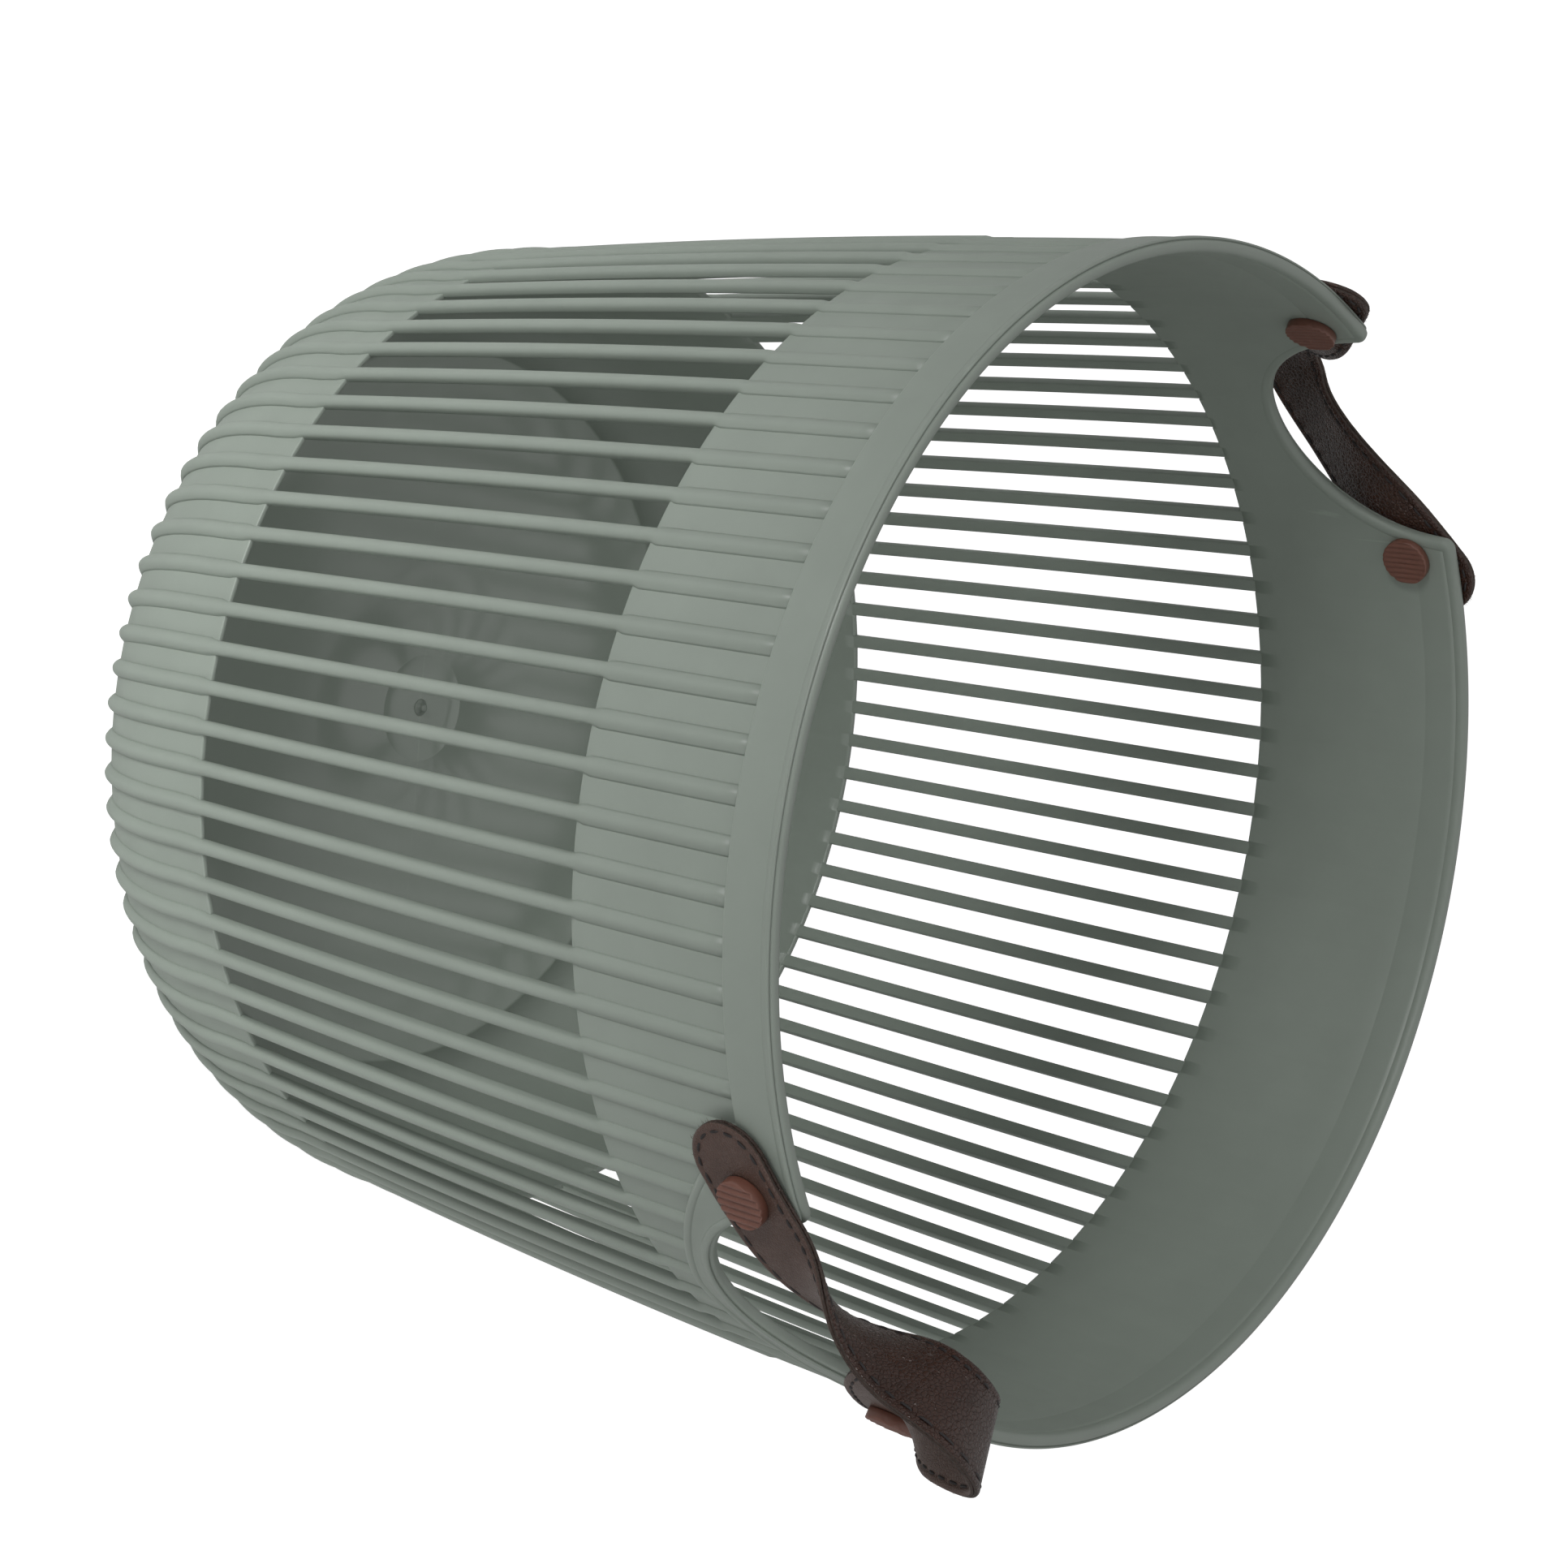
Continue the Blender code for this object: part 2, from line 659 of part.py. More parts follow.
def build_strap(handle, side, left, right, split, leather, lining):
    """One strap: two fixed ends and a free loop, each of an outer layer and a lining."""
    rows = half_rows(left) + mirrored(half_rows(right))[1:]
    turn = Matrix.Rotation(0.0 if side > 0 else math.pi, 4, "Z")
    fixed = split + SPLIT_GAP / 2
    loose = split - SPLIT_GAP / 2
    pieces = (
        ("left_end", ((fixed, 1),)),
        ("right_end", ((-fixed, -1),)),
        ("loop", ((loose, -1), (-loose, 1))),
    )
    layers = (
        ("leather", GAP / 2, GAP / 2 + STRAP_LAYER, leather),
        ("lining", -GAP / 2 - STRAP_LAYER, -GAP / 2, lining),
    )
    made = []
    for place, cuts in pieces:
        for layer, low, high, finish in layers:
            builder = swept_strip(rows, low, high)
            for across, hand in cuts:
                keep_beyond(builder, across, hand)
            bmesh.ops.transform(builder, matrix=turn, verts=builder.verts)
            bmesh.ops.recalc_face_normals(builder, faces=builder.faces)
            made.append((place, node(f"{handle}_strap_{place}_{layer}", builder, finish)))
    return made


def beyond_rim(out, across, rise):
    """A point from the rim's outer edge, at the middle of the handle at +X."""
    return (strip_radius(BASKET_HEIGHT) + out, across, BASKET_HEIGHT + rise)


def near_bend():
    """The numbers of either half of the near handle, which is the same on both sides."""
    return {
        "seated": NEAR_SEATED_RUN,
        "tilt": NEAR_TILT,
        "middle": beyond_rim(NEAR_MIDDLE_OUT, 0.0, NEAR_MIDDLE_RISE),
        "slope": (0.0, -1.0, 0.0),
        "leave_pull": NEAR_LEAVE_PULL,
        "middle_pull": NEAR_MIDDLE_PULL,
        "turn": NEAR_TURN,
        "turn_share": NEAR_TURN_SHARE,
    }


def far_bend(hand):
    """The numbers of one half of the far handle, written as if its end were at +Y."""
    across = hand * FAR_MIDDLE_ACROSS
    slope = FAR_SLOPE
    return {
        "seated": FAR_SEATED_RUN,
        "tilt": FAR_LEFT_TILT if hand > 0 else FAR_RIGHT_TILT,
        "middle": beyond_rim(FAR_MIDDLE_OUT, across, -FAR_MIDDLE_DROP),
        "slope": (hand * slope[0], slope[1], hand * slope[2]),
        "leave_pull": FAR_LEAVE_PULL,
        "middle_pull": FAR_LEFT_PULL if hand > 0 else FAR_RIGHT_PULL,
        "turn": FAR_TURN,
        "turn_share": 1.0,
    }


def joint_empty(handle, side):
    """The empty that carries a loop, on the line that the loop swings about."""
    mark = bpy.data.objects.new(handle + "_swing_axis", None)
    bpy.context.scene.collection.objects.link(mark)
    height = BASKET_HEIGHT - STUD_DEPTH
    reach = strap_seat_radius() * math.cos(STUD_SPREAD / strip_radius(height))
    mark.location = (side * reach, 0.0, height)
    return mark


def parent_keeping_place(child, parent):
    child.parent = parent
    child.matrix_parent_inverse = Matrix.Translation(parent.location).inverted()


def main():
    clear_scene()
    body_finish = material("sage_plastic", (0.300, 0.345, 0.305), 0.55)
    leather = material("brown_leather", (0.045, 0.030, 0.024), 0.45)
    lining = material("brown_lining", (0.050, 0.034, 0.028), 0.40)
    stud_finish = material("russet_plastic", (0.140, 0.055, 0.035), 0.42)

    body = build_plain_body(body_finish)
    holes = build_cutter("pin_hole_cutter", body_finish, add_pin_holes)
    rim_openings = build_cutter("rim_opening_cutter", body_finish, add_notch_prism, add_pin_holes)
    add_boolean(body, build_flange_former(body_finish), "UNION")
    add_boolean(body, rim_openings, "DIFFERENCE")

    handles = (
        ("near", -1, prepare_bend(near_bend()), prepare_bend(near_bend()), NEAR_SPLIT),
        ("far", 1, prepare_bend(far_bend(1)), prepare_bend(far_bend(-1)), FAR_SPLIT),
    )
    for handle, side, left, right, split in handles:
        carrier = joint_empty(handle, side)
        for place, piece in build_strap(handle, side, left, right, split, leather, lining):
            if place == "loop":
                parent_keeping_place(piece, carrier)
            else:
                add_boolean(piece, holes, "DIFFERENCE")
        for hand, word in ((1, "left"), (-1, "right")):
            build_stud(f"{handle}_{word}_stud", side, hand, stud_finish)
            build_cap(f"{handle}_{word}_inner_cap", side, hand, stud_finish)


main()
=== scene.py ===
import math
import random

import bpy
import numpy as np
from bpy.props import FloatProperty, FloatVectorProperty, IntProperty, PointerProperty
from mathutils import Matrix, Quaternion, Vector, noise


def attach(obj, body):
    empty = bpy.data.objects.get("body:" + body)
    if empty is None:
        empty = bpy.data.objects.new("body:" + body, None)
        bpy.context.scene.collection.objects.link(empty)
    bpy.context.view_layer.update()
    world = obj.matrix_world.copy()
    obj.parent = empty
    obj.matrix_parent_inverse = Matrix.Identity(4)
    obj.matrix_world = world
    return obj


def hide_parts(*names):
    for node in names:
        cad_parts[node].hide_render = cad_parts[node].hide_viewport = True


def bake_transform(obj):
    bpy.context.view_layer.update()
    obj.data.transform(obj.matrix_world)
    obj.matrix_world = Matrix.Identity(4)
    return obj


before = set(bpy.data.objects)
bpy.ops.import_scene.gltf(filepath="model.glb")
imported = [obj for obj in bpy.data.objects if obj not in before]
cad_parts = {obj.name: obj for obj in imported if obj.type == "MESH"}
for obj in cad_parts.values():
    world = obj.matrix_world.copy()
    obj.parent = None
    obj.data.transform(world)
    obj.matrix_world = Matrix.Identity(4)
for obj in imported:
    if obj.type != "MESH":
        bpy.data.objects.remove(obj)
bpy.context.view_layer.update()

bl_info = {
    "name": "Storage Basket",
    "version": (1, 0, 0),
    "blender": (4, 5, 0),
    "location": "3D View > Sidebar > Basket",
    "description": "Dresses the slotted storage basket: moulding, stitched straps, studs and stage",
    "category": "Add Mesh",
}

MM = 0.001

# Basket body, as its solids have it
BASKET_HEIGHT = 0.303
SLOT_TOP_HEIGHT = 0.2278
SLOT_BOTTOM_HEIGHT = 0.0659
SHOULDER_HEIGHT = 0.054
RIM_STRIP_HEIGHT = 0.0175
RIM_INNER_RADIUS = 0.1722
WALL_CURVE_SHARES = ((0.2175, 0.8984), (0.7518, 0.97735), (1.0, 1.0))
SHOULDER_DEPTH = 0.030
WALL = 0.0018
FLOOR_THICKNESS = 0.0025
RIB_COUNT = 82
RIB_START_SHARE = 0.9
RIB_WIDTH = 0.0044
RIM_STRIP_PROUD = 0.0023
STRIP_BOTTOM = BASKET_HEIGHT - RIM_STRIP_HEIGHT

# What the dressed body adds: softer ribs on the bands and shoulder, sink marks, and the recess that
# each bar's inner end leaves in a band, with its half width as a share of the ribs' pitch. The ribs
# start at an angle round the shoulder, in degrees, and rise to their height over the next ones. Each
# rib has a width, a height and a softness, from half round at 0 to soft feet at 1
FREE_RIB = np.array([RIB_WIDTH, 0.0020, 0.0])
BAND_RIB = np.array([0.0058, 0.0015, 1.0])
SHOULDER_RIB = np.array([0.0056, 0.0021, 0.6])
SHOULDER_RIB_START = 14
SHOULDER_RIB_RISE = 22
RIB_INTO_STRIP = 0.0008
RIB_INTO_FLANGE = 0.0016
BAR_CORNER = 0.00045
BAR_CHAMFER = 0.00012
BAND_BELOW_RIM = 0.0016
RIB_INTO_BAND = 0.0032
RIB_INTO_SHOULDER = 0.0040
SINK_DEPTH = 0.00010
SINK_SHARE = 0.13
RECESS_SHARE = 0.176
RECESS_LENGTH = 0.0007
RECESS_EDGE = 0.0001
RECESS_CLEARANCE = 0.00006

# Heights where the bands have points, outside and inside, and where their ribs do above the slots, in mm
CUP_OUTER_HEIGHTS = (0.058, 0.062)
CUP_INNER_HEIGHTS = (0.061, 0.058)
BAND_OUTER_HEIGHTS = (0.236, 0.246, 0.256, 0.266, 0.276)
BAND_INNER_HEIGHTS = (0.282, 0.275, 0.265, 0.255, 0.245, 0.236)
BAND_RIB_RISES = (0.7, 1.4, 2.2, 3.2, 6.0, 12.0, 20.0, 28.0, 36.0, 44.0, 52.0)
STRIP_OUTER_HEIGHTS = (0.290, 0.295, 0.299)
STRIP_INNER_HEIGHTS = (0.298, 0.2945)

# The rim strip's foot: millimetres over the strip's lower edge, and the share of how far it stands out
STRIP_FOOT = (
    (-1.0, 0.0), (-0.35, 0.0), (-0.12, 0.16), (0.05, 0.62), (0.2, 0.86), (0.5, 0.98), (0.9, 1.0),
)

# The line inside the rim: heights, and millimetres into the wall
INNER_LINE = ((0.2898, 0.0), (0.2893, 0.10), (0.2889, 0.14), (0.2885, 0.10), (0.2880, 0.0))

# The band's rows follow the notches above this distance over the slots, and the strip fades towards each
# flange between two distances round the rim, down to a share of how far it stands out
NOTCH_FOLLOW = 0.004
STRIP_FADE_END = 0.058
STRIP_FADE_LENGTH = 0.008
STRIP_LEAST_SHARE = 0.25

# The underside's radii, the floor with its border line and the dish round the sprue, and the sprue's
# nub. Both outlines are in millimetres: out from the middle and up from the floor
UNDERSIDE_RADII = (0.0006, 0.05, 0.1)
FLOOR_OUTLINE = (
    (121.5, 0.0), (120.9, 0.22), (120.3, 0.0), (100.0, 0.0), (50.0, 0.0), (18.6, 0.0), (18.3, 0.16),
    (18.0, 0.16), (17.7, -0.06), (12.0, -0.34), (6.0, -0.58), (3.0, -0.64), (0.6, -0.64),
)
NUB_OUTLINE = (
    (2.9, -1.0), (2.9, -0.55), (2.5, -0.2), (1.8, 0.05), (1.5, 0.7),
    (1.35, 1.25), (1.0, 1.6), (0.45, 1.7), (0.1, 1.7),
)

# Handle notch and flange
NOTCH_HALF_WIDTH = 0.0435
NOTCH_DEPTH = 0.050
NOTCH_CORNER_RADIUS = 0.004
NOTCH_STEPS = 44
RIM_STEPS = 150
FLANGE_HALF_WIDTH = 0.070
FLANGE_DEPTH = 0.059
FLANGE_TOP_DEPTH = 0.012
FLANGE_ROUNDNESS = 1.45
FLANGE_DISH = 0.00022
FLANGE_INSET = 0.0004
FLANGE_PROUD = 0.00004
FLANGE_BACK_SHARE = 0.6
BEAD_HALF_WIDTH = 0.0678

# Studs and straps
STUD_SPREAD = 0.052
STUD_DEPTH = 0.016
STUD_HEIGHT = BASKET_HEIGHT - STUD_DEPTH
STUD_RADIUS = 0.0077
STRAP_WIDTH = 0.027
STRAP_LAYER = 0.0012
STRAP_TAIL = 0.023
STRAP_STAND_OFF = 0.0005
GAP = 0.0003
CURVE_SAMPLES = 200

# Where a strap's face and cut edge have points, as shares of its half width and its layer's thickness
FACE_SHARES = (1.0, 0.988, 0.965, 0.93, 0.895, 0.865, 0.84, 0.822, 0.804, 0.78, 0.74, 0.66, 0.5, 0.26)
EDGE_SHARES = ((1, 0.62), (1, 0.34), (1, 0.12), (-1, 0.12), (-1, 0.34), (-1, 0.62))
TAIL_TURNS = (5, 10, 16, 23, 30, 37, 44, 51, 58, 65, 72, 79, 85)
STRAP_STEP = 0.0009

# A face's relief as heights and reaches: the dip of the seam, the bead outside it, the rounded border,
# and the leather's unevenness, which ends before the loop's middle, where two halves meet
SEAM_DIP, SEAM_REACH = 0.00026, 0.00055
BEAD_RISE, BEAD_INSET, BEAD_REACH = 0.00010, 0.00115, 0.0005
BORDER_DROP, BORDER_REACH = 0.00042, 0.00028
BROAD_RELIEF, FINE_RELIEF = 0.00016, 0.00006
BROAD_FRAY, FINE_FRAY, EDGE_BULGE = 0.00010, 0.00005, 0.00005
EVEN_END = 0.004

# A stitch's course: the share of its length, the share of its thread's thickness, and millimetres up
STITCH_COURSE = (
    (0.0, 0.45, -0.42), (0.12, 0.9, -0.12), (0.3, 1.0, 0.02), (0.5, 1.05, 0.06),
    (0.7, 1.0, 0.02), (0.88, 0.9, -0.12), (1.0, 0.45, -0.42),
)
STITCH_SINK = 0.00016
SEAM_STEP = 0.0005
STITCH_DRIFT = 0.00010
STITCH_SPREAD = 0.08
FIRST_STITCH_SHARE = 0.35

# Fibres of the cut edge: how many, the share along the sides, and their sizes
FIBRE_COUNT = 130
SIDE_FIBRE_SHARE = 0.45
FIBRE_ROOT = 0.00015
FIBRE_RADIUS = 0.000055
FIBRE_LENGTHS = (0.00035, 0.0010)
FIBRE_SPREAD = 0.0009
FIBRE_END = 0.002
FIBRE_PROBE = 0.0001

# Heads of the studs and caps: their heights, their foot's rings as shares of the radius and heights,
# their brim's rings in from the radius and down from the face, and their ridges
STUD_HEAD = 0.0035
STUD_SEAT = 0.0001
CAP_HEAD = 0.0030
HEAD_FOOT = ((0.86, 0.0), (0.97, 0.00004), (1.0, 0.00035))
HEAD_BRIM = ((0.0, 0.00030), (0.00006, 0.00010), (0.00022, 0.0))
STUD_RIDGES = 6.5
CAP_RIDGES = 8.5
CAP_RIDGE_SHARE = 0.6

# The round tail's centre, along the strap from its stud, and a strap's face, from its layers' middle
TAIL_CENTRE = STRAP_WIDTH / 2 - STRAP_TAIL
STRAP_FACE = GAP / 2 + STRAP_LAYER

# Each half of a strap: the length that lies on the wall and its tilt, where the loop's middle is, the
# curve's direction there, the pull at the curve's two ends, and the strap's turn along it
NEAR_HALF = {
    "seated": 0.008, "tilt": math.radians(21.5), "out": 0.0145, "across": 0.0, "rise": 0.0487,
    "slope": (0.0, -1.0, 0.0), "leave_pull": 0.046, "middle_pull": 0.027,
    "turn": math.radians(74), "turn_share": 0.66,
}
FAR_HALF = {
    "seated": 0.012, "out": 0.0258, "rise": -0.0632, "leave_pull": 0.020,
    "turn": math.radians(-10), "turn_share": 1.0,
}
FAR_LEFT = {
    "tilt": math.radians(-38), "across": 0.002, "slope": (0.08, -1.0, -0.15), "middle_pull": 0.028,
}
FAR_RIGHT = {
    "tilt": math.radians(-33), "across": -0.002, "slope": (-0.08, -1.0, 0.15), "middle_pull": 0.030,
}
HANDLES = {
    "near": {"side": -1, "loop": "near_loop", "halves": {"left": NEAR_HALF, "right": NEAR_HALF}},
    "far": {
        "side": 1,
        "loop": "far_loop",
        "halves": {"left": {**FAR_HALF, **FAR_LEFT}, "right": {**FAR_HALF, **FAR_RIGHT}},
    },
}
HANDS = {"left": 1, "right": -1}

# Marks for where a strap would leave the wall's body and wholly follow the loop; they are worked out but not
# used
BLEND_REACH = 0.172
BLEND_HEIGHT = 0.287
BLEND_START = 0.051
BLEND_END = 0.036

# Camera of the photograph, and the lamps: kind, spot angle or size, place, target and power
CAMERA_PLACE = (-0.542113, 0.784620, 0.916002)
CAMERA_TURN = (0.8333315, -0.2389315, -0.3643037, -0.3402251)
CAMERA_LENS = 89.53
LAMPS = (
    ("key_lamp", "SPOT", math.radians(42), (-0.20, 1.47, 0.50), (-0.05, 0.13, -0.09), 70.0),
    ("base_fill_lamp", "SPOT", math.radians(44), (-1.45, 0.05, 0.24), (-0.10, 0.0, -0.22), 22.0),
    ("front_fill_lamp", "AREA", 1.0, (1.30, 1.10, 0.40), (0, 0, 0.16), 0.5),
    ("side_fill_lamp", "AREA", 1.0, (-1.62, 0.30, 0.40), (0, 0, 0.16), 2.2),
)
WORLD_LIGHT = 0.385
FLOOR_GLOW = 0.74
SHINE_BY_HEIGHT = {"From Min": 0.35, "From Max": 0.60, "To Min": 0.2, "To Max": 1.0}
WHITE = (1, 1, 1, 1)
FLOOR_REACH = 4.0
FLOOR_LEVEL = -0.0002


def length(name, description, default):
    return FloatProperty(name=name, description=description, default=default, unit="LENGTH")


def colour(name, description, default):
    return FloatVectorProperty(
        name=name, description=description, default=default, subtype="COLOR", size=3, min=0.0, max=1.0
    )


class BasketSizes(bpy.types.PropertyGroup):
    """Sizes of the details that the dressed basket adds to its solids."""

    rib_rounding: IntProperty(
        name="Rib sides", description="Facets across one half-round rib", default=10, min=4
    )
    bar_set_back: length("Bar set-back", "How far a bar's inner face lies behind the bands", 0.00030)
    slot_rounding: length("Slot edge rounding", "Radius of the edges where the slots end", 0.0006)
    stitch_length: length("Stitch length", "Length of one stitch", 0.0036)
    stitch_pitch: length("Stitch pitch", "Distance from one stitch to the next", 0.0050)
    stitch_inset: length("Stitch inset", "Distance of the seam from the strap's edge", 0.0024)
    thread_radius: length("Thread radius", "Half the thread's thickness", 0.00042)
    stud_ridge: length("Stud ridge", "Depth of a stud's ridges", 0.0010)


class BasketColours(bpy.types.PropertyGroup):
    """Colours of the basket's finishes."""

    plastic: colour("Sage plastic", "The moulding's colour", (0.262, 0.300, 0.262))
    leather: colour("Leather", "The strap's outer layer", (0.084, 0.046, 0.034))
    lining: colour("Lining", "The strap's inner layer", (0.060, 0.0260, 0.0175))
    cut_edge: colour("Cut edge", "The fibrous edge of the strap", (0.060, 0.038, 0.028))
    thread: colour("Thread", "The stitching", (0.006, 0.004, 0.004))
    stud: colour("Stud", "The ridged studs and caps", (0.170, 0.068, 0.046))


# Meshes


def one_finish(row, column):
    return 0


class Shape:
    """Points and faces of one piece while it is built."""

    def __init__(self):
        self.points = []
        self.faces = []
        self.finishes = []
        self.count = 0

    def grid(self, rows, ring=False, loop=False, ends=(False, False), finish=one_finish, flip=False):
        """Rows of points as a skin. ring closes each row, loop joins the last row to the first.

        finish gives the material number at a row and a column.
        """
        rows = np.asarray(rows, float)
        high, wide = rows.shape[:2]
        first = self.count
        self.points.append(rows.reshape(-1, 3))
        self.count += high * wide
        for row in range(high if loop else high - 1):
            here = first + row * wide
            above = first + ((row + 1) % high) * wide
            for column in range(wide if ring else wide - 1):
                after = (column + 1) % wide
                face = (here + column, here + after, above + after, above + column)
                self.faces.append(face[::-1] if flip else face)
                self.finishes.append(finish(row, column))
        for closed, row, turned in ((ends[0], 0, True), (ends[1], high - 1, False)):
            if closed:
                face = [first + row * wide + column for column in range(wide)]
                self.faces.append(face[::-1] if turned != flip else face)
                self.finishes.append(finish(row, 0))

    def piece(self, name, *materials):
        """The shape as a shown object with its finishes."""
        mesh = bpy.data.meshes.new(name)
        mesh.from_pydata(np.vstack(self.points).tolist(), [], self.faces)
        for finish in materials:
            mesh.materials.append(finish)
        mesh.polygons.foreach_set("material_index", self.finishes)
        mesh.polygons.foreach_set("use_smooth", [True] * len(mesh.polygons))
        mesh.validate()
        mesh.update()
        made = bpy.data.objects.new(name, mesh)
        bpy.context.scene.collection.objects.link(made)
        return made


def unit(vectors):
    return vectors / np.maximum(np.linalg.norm(vectors, axis=-1, keepdims=True), 1e-12)


def lengths_along(line):
    """The length travelled from a line's first point to each of its points."""
    steps = np.linalg.norm(np.diff(line, axis=0), axis=1)
    return np.concatenate([[0.0], np.cumsum(steps)])


def sweep(shape, places, sides, ups, section, loop=False, scales=None):
    """A section of (side, up) pairs carried along places, each with a side and an up vector."""
    if scales is None:
        scales = np.ones(len(places))
    spread = sides[:, None] * section[None, :, :1] + ups[:, None] * section[None, :, 1:]
    rows = places[:, None] + spread * scales[:, None, None]
    shape.grid(rows, ring=True, loop=loop, ends=(not loop, not loop))


# Basket shape


def inner_radius(height):
    share = np.asarray(height, float) / BASKET_HEIGHT
    total = 0.0
    for own, radius_share in WALL_CURVE_SHARES:
        weight = 1.0
        for other, _ in WALL_CURVE_SHARES:
            if other != own:
                weight = weight * (share - other) / (own - other)
        total = total + weight * radius_share
    return total * RIM_INNER_RADIUS


def wall_radius(height):
    return inner_radius(height) + WALL


def strip_radius(height):
    return wall_radius(height) + RIM_STRIP_PROUD


RIM_REACH = float(strip_radius(BASKET_HEIGHT))
STUD_REACH = float(strip_radius(STUD_HEIGHT))
WALL_LEAN = float(inner_radius(BASKET_HEIGHT) - inner_radius(STUD_HEIGHT)) / STUD_DEPTH


def shoulder_point(turn, outside):
    skin = 0.0 if outside else WALL
    floor = 0.0 if outside else FLOOR_THICKNESS
    middle = float(wall_radius(SHOULDER_HEIGHT)) - SHOULDER_DEPTH
    radius = middle + (SHOULDER_DEPTH - skin) * math.sin(turn)
    height = SHOULDER_HEIGHT - (SHOULDER_HEIGHT - floor) * math.cos(turn)
    return radius, height


def on_body(angle, radius, height):
    angle, radius, height = np.broadcast_arrays(angle, radius, height)
    return np.stack([radius * np.cos(angle), radius * np.sin(angle), height], axis=-1)


def notch_outline():
    """Half the notch's edge, from the rim to its bottom: distances across and heights."""
    corner = np.radians(np.arange(90, 181, 9))
    lowest = math.asin(NOTCH_CORNER_RADIUS / NOTCH_DEPTH)
    bowl = np.linspace(lowest, math.pi / 2, NOTCH_STEPS + 1)[1:]
    corner_across = NOTCH_HALF_WIDTH + NOTCH_CORNER_RADIUS * (1 + np.cos(corner))
    corner_rise = NOTCH_CORNER_RADIUS * (np.sin(corner) - 1)
    across = np.concatenate([corner_across, NOTCH_HALF_WIDTH * np.cos(bowl)])
    return across, BASKET_HEIGHT + np.concatenate([corner_rise, -NOTCH_DEPTH * np.sin(bowl)])


def rim_line():
    """The whole upper edge, both notches in it, as angles and heights that go round once."""
    across, heights = notch_outline()
    half = np.arcsin(across / (RIM_REACH - (WALL + RIM_STRIP_PROUD) / 2))
    straight = np.linspace(half[0], math.pi - half[0], RIM_STEPS + 1)[1:-1]
    angles = np.concatenate([-half, half[-2::-1], straight])
    levels = np.concatenate([heights, heights[-2::-1], np.full(len(straight), BASKET_HEIGHT)])
    return np.concatenate([angles, angles + math.pi]), np.tile(levels, 2)


def rim_frames():
    """Places in the middle of the rim's thickness, with outward vectors and vectors into the opening."""
    angles, heights = rim_line()
    radius = (inner_radius(heights) + strip_radius(heights)) / 2
    places = on_body(angles, radius, heights)
    tangents = unit(np.roll(places, -1, axis=0) - np.roll(places, 1, axis=0))
    outward = on_body(angles, 1.0, 0.0)
    outward = unit(outward - tangents * np.sum(outward * tangents, axis=1, keepdims=True))
    return places, outward, np.cross(outward, tangents)


def rib_centres():
    return 2 * math.pi * (np.arange(RIB_COUNT) + RIB_START_SHARE) / RIB_COUNT


def rib_columns():
    """Angles across all the ribs and gaps, fine at each rib and at a bar recess's two edges."""
    half = [0.06, 0.12, RECESS_SHARE - 0.006, RECESS_SHARE + 0.006, 0.22, 0.34]
    shares = [-0.5] + [-share for share in half[::-1]] + [0.0] + half
    step = 2 * math.pi / RIB_COUNT
    return np.array([centre + share * step for centre in rib_centres() for share in shares])


def rib_offsets(angles):
    """How far each angle lies from the nearest rib's middle, as a share of the ribs' pitch."""
    return (angles * RIB_COUNT / (2 * math.pi) - RIB_START_SHARE + 0.5) % 1.0 - 0.5


def sink_marks(angles):
    """1 behind each rib and 0 between them: where the moulding has sunk a little inside."""
    return np.exp(-((rib_offsets(angles) / SINK_SHARE) ** 2))


def bar_recesses(angles):
    """1 where a bar's inner end runs into a band and 0 elsewhere."""
    return (np.abs(rib_offsets(angles)) < RECESS_SHARE).astype(float)


def rounded_edge(*turns):
    """How far a slot's rounded edge has risen and stepped back at each turn in degrees."""
    rounding = bpy.context.scene.basket_sizes.slot_rounding
    turns = [math.radians(turn) for turn in turns]
    return [(rounding * math.sin(turn), rounding * (1 - math.cos(turn))) for turn in turns]


def build_cup(shape):
    """Floor, rounded shoulder and bottom band."""
    angles = rib_columns()
    sizes = bpy.context.scene.basket_sizes
    top = SLOT_BOTTOM_HEIGHT
    start = top - sizes.slot_rounding
    edge_out, edge_in = float(wall_radius(top)), float(inner_radius(top))
    outline = [(radius, 0.0) for radius in UNDERSIDE_RADII]
    outline += [shoulder_point(math.radians(turn), True) for turn in range(0, 91, 6)]
    outline += [(float(wall_radius(height)), height) for height in (*CUP_OUTER_HEIGHTS, start)]
    outline += [(edge_out - back, start + lift) for lift, back in rounded_edge(30, 60, 90)]
    inner_start = len(outline)
    outline += [(edge_in + back, start + lift) for lift, back in rounded_edge(90, 60, 30, 0)]
    recess_end = len(outline) + 1
    recess_low = top - RECESS_LENGTH
    for height in (recess_low, recess_low - RECESS_EDGE, *CUP_INNER_HEIGHTS):
        outline.append((float(inner_radius(height)), height))
    outline += [shoulder_point(math.radians(turn), False) for turn in range(90, -1, -6)]
    plate_start = len(outline)
    outline += [(radius * MM, FLOOR_THICKNESS + height * MM) for radius, height in FLOOR_OUTLINE]
    outline = np.array(outline)
    marks = np.zeros((len(outline), 1))
    marks[inner_start + 3 : inner_start + 14] = SINK_DEPTH
    recesses = np.zeros((len(outline), 1))
    recesses[inner_start:recess_end] = sizes.bar_set_back + RECESS_CLEARANCE
    radius = outline[:, :1] + marks * sink_marks(angles) + recesses * bar_recesses(angles)
    rows = on_body(angles, radius, outline[:, 1:])
    # The floor plate's rows take the floor finish, whose lighter colour is painted light
    shape.grid(rows, ring=True, ends=(True, True), finish=lambda row, column: int(row >= plate_start))


def from_handle(angles):
    """The angle from the nearest handle's middle."""
    return (angles + math.pi / 2) % math.pi - math.pi / 2


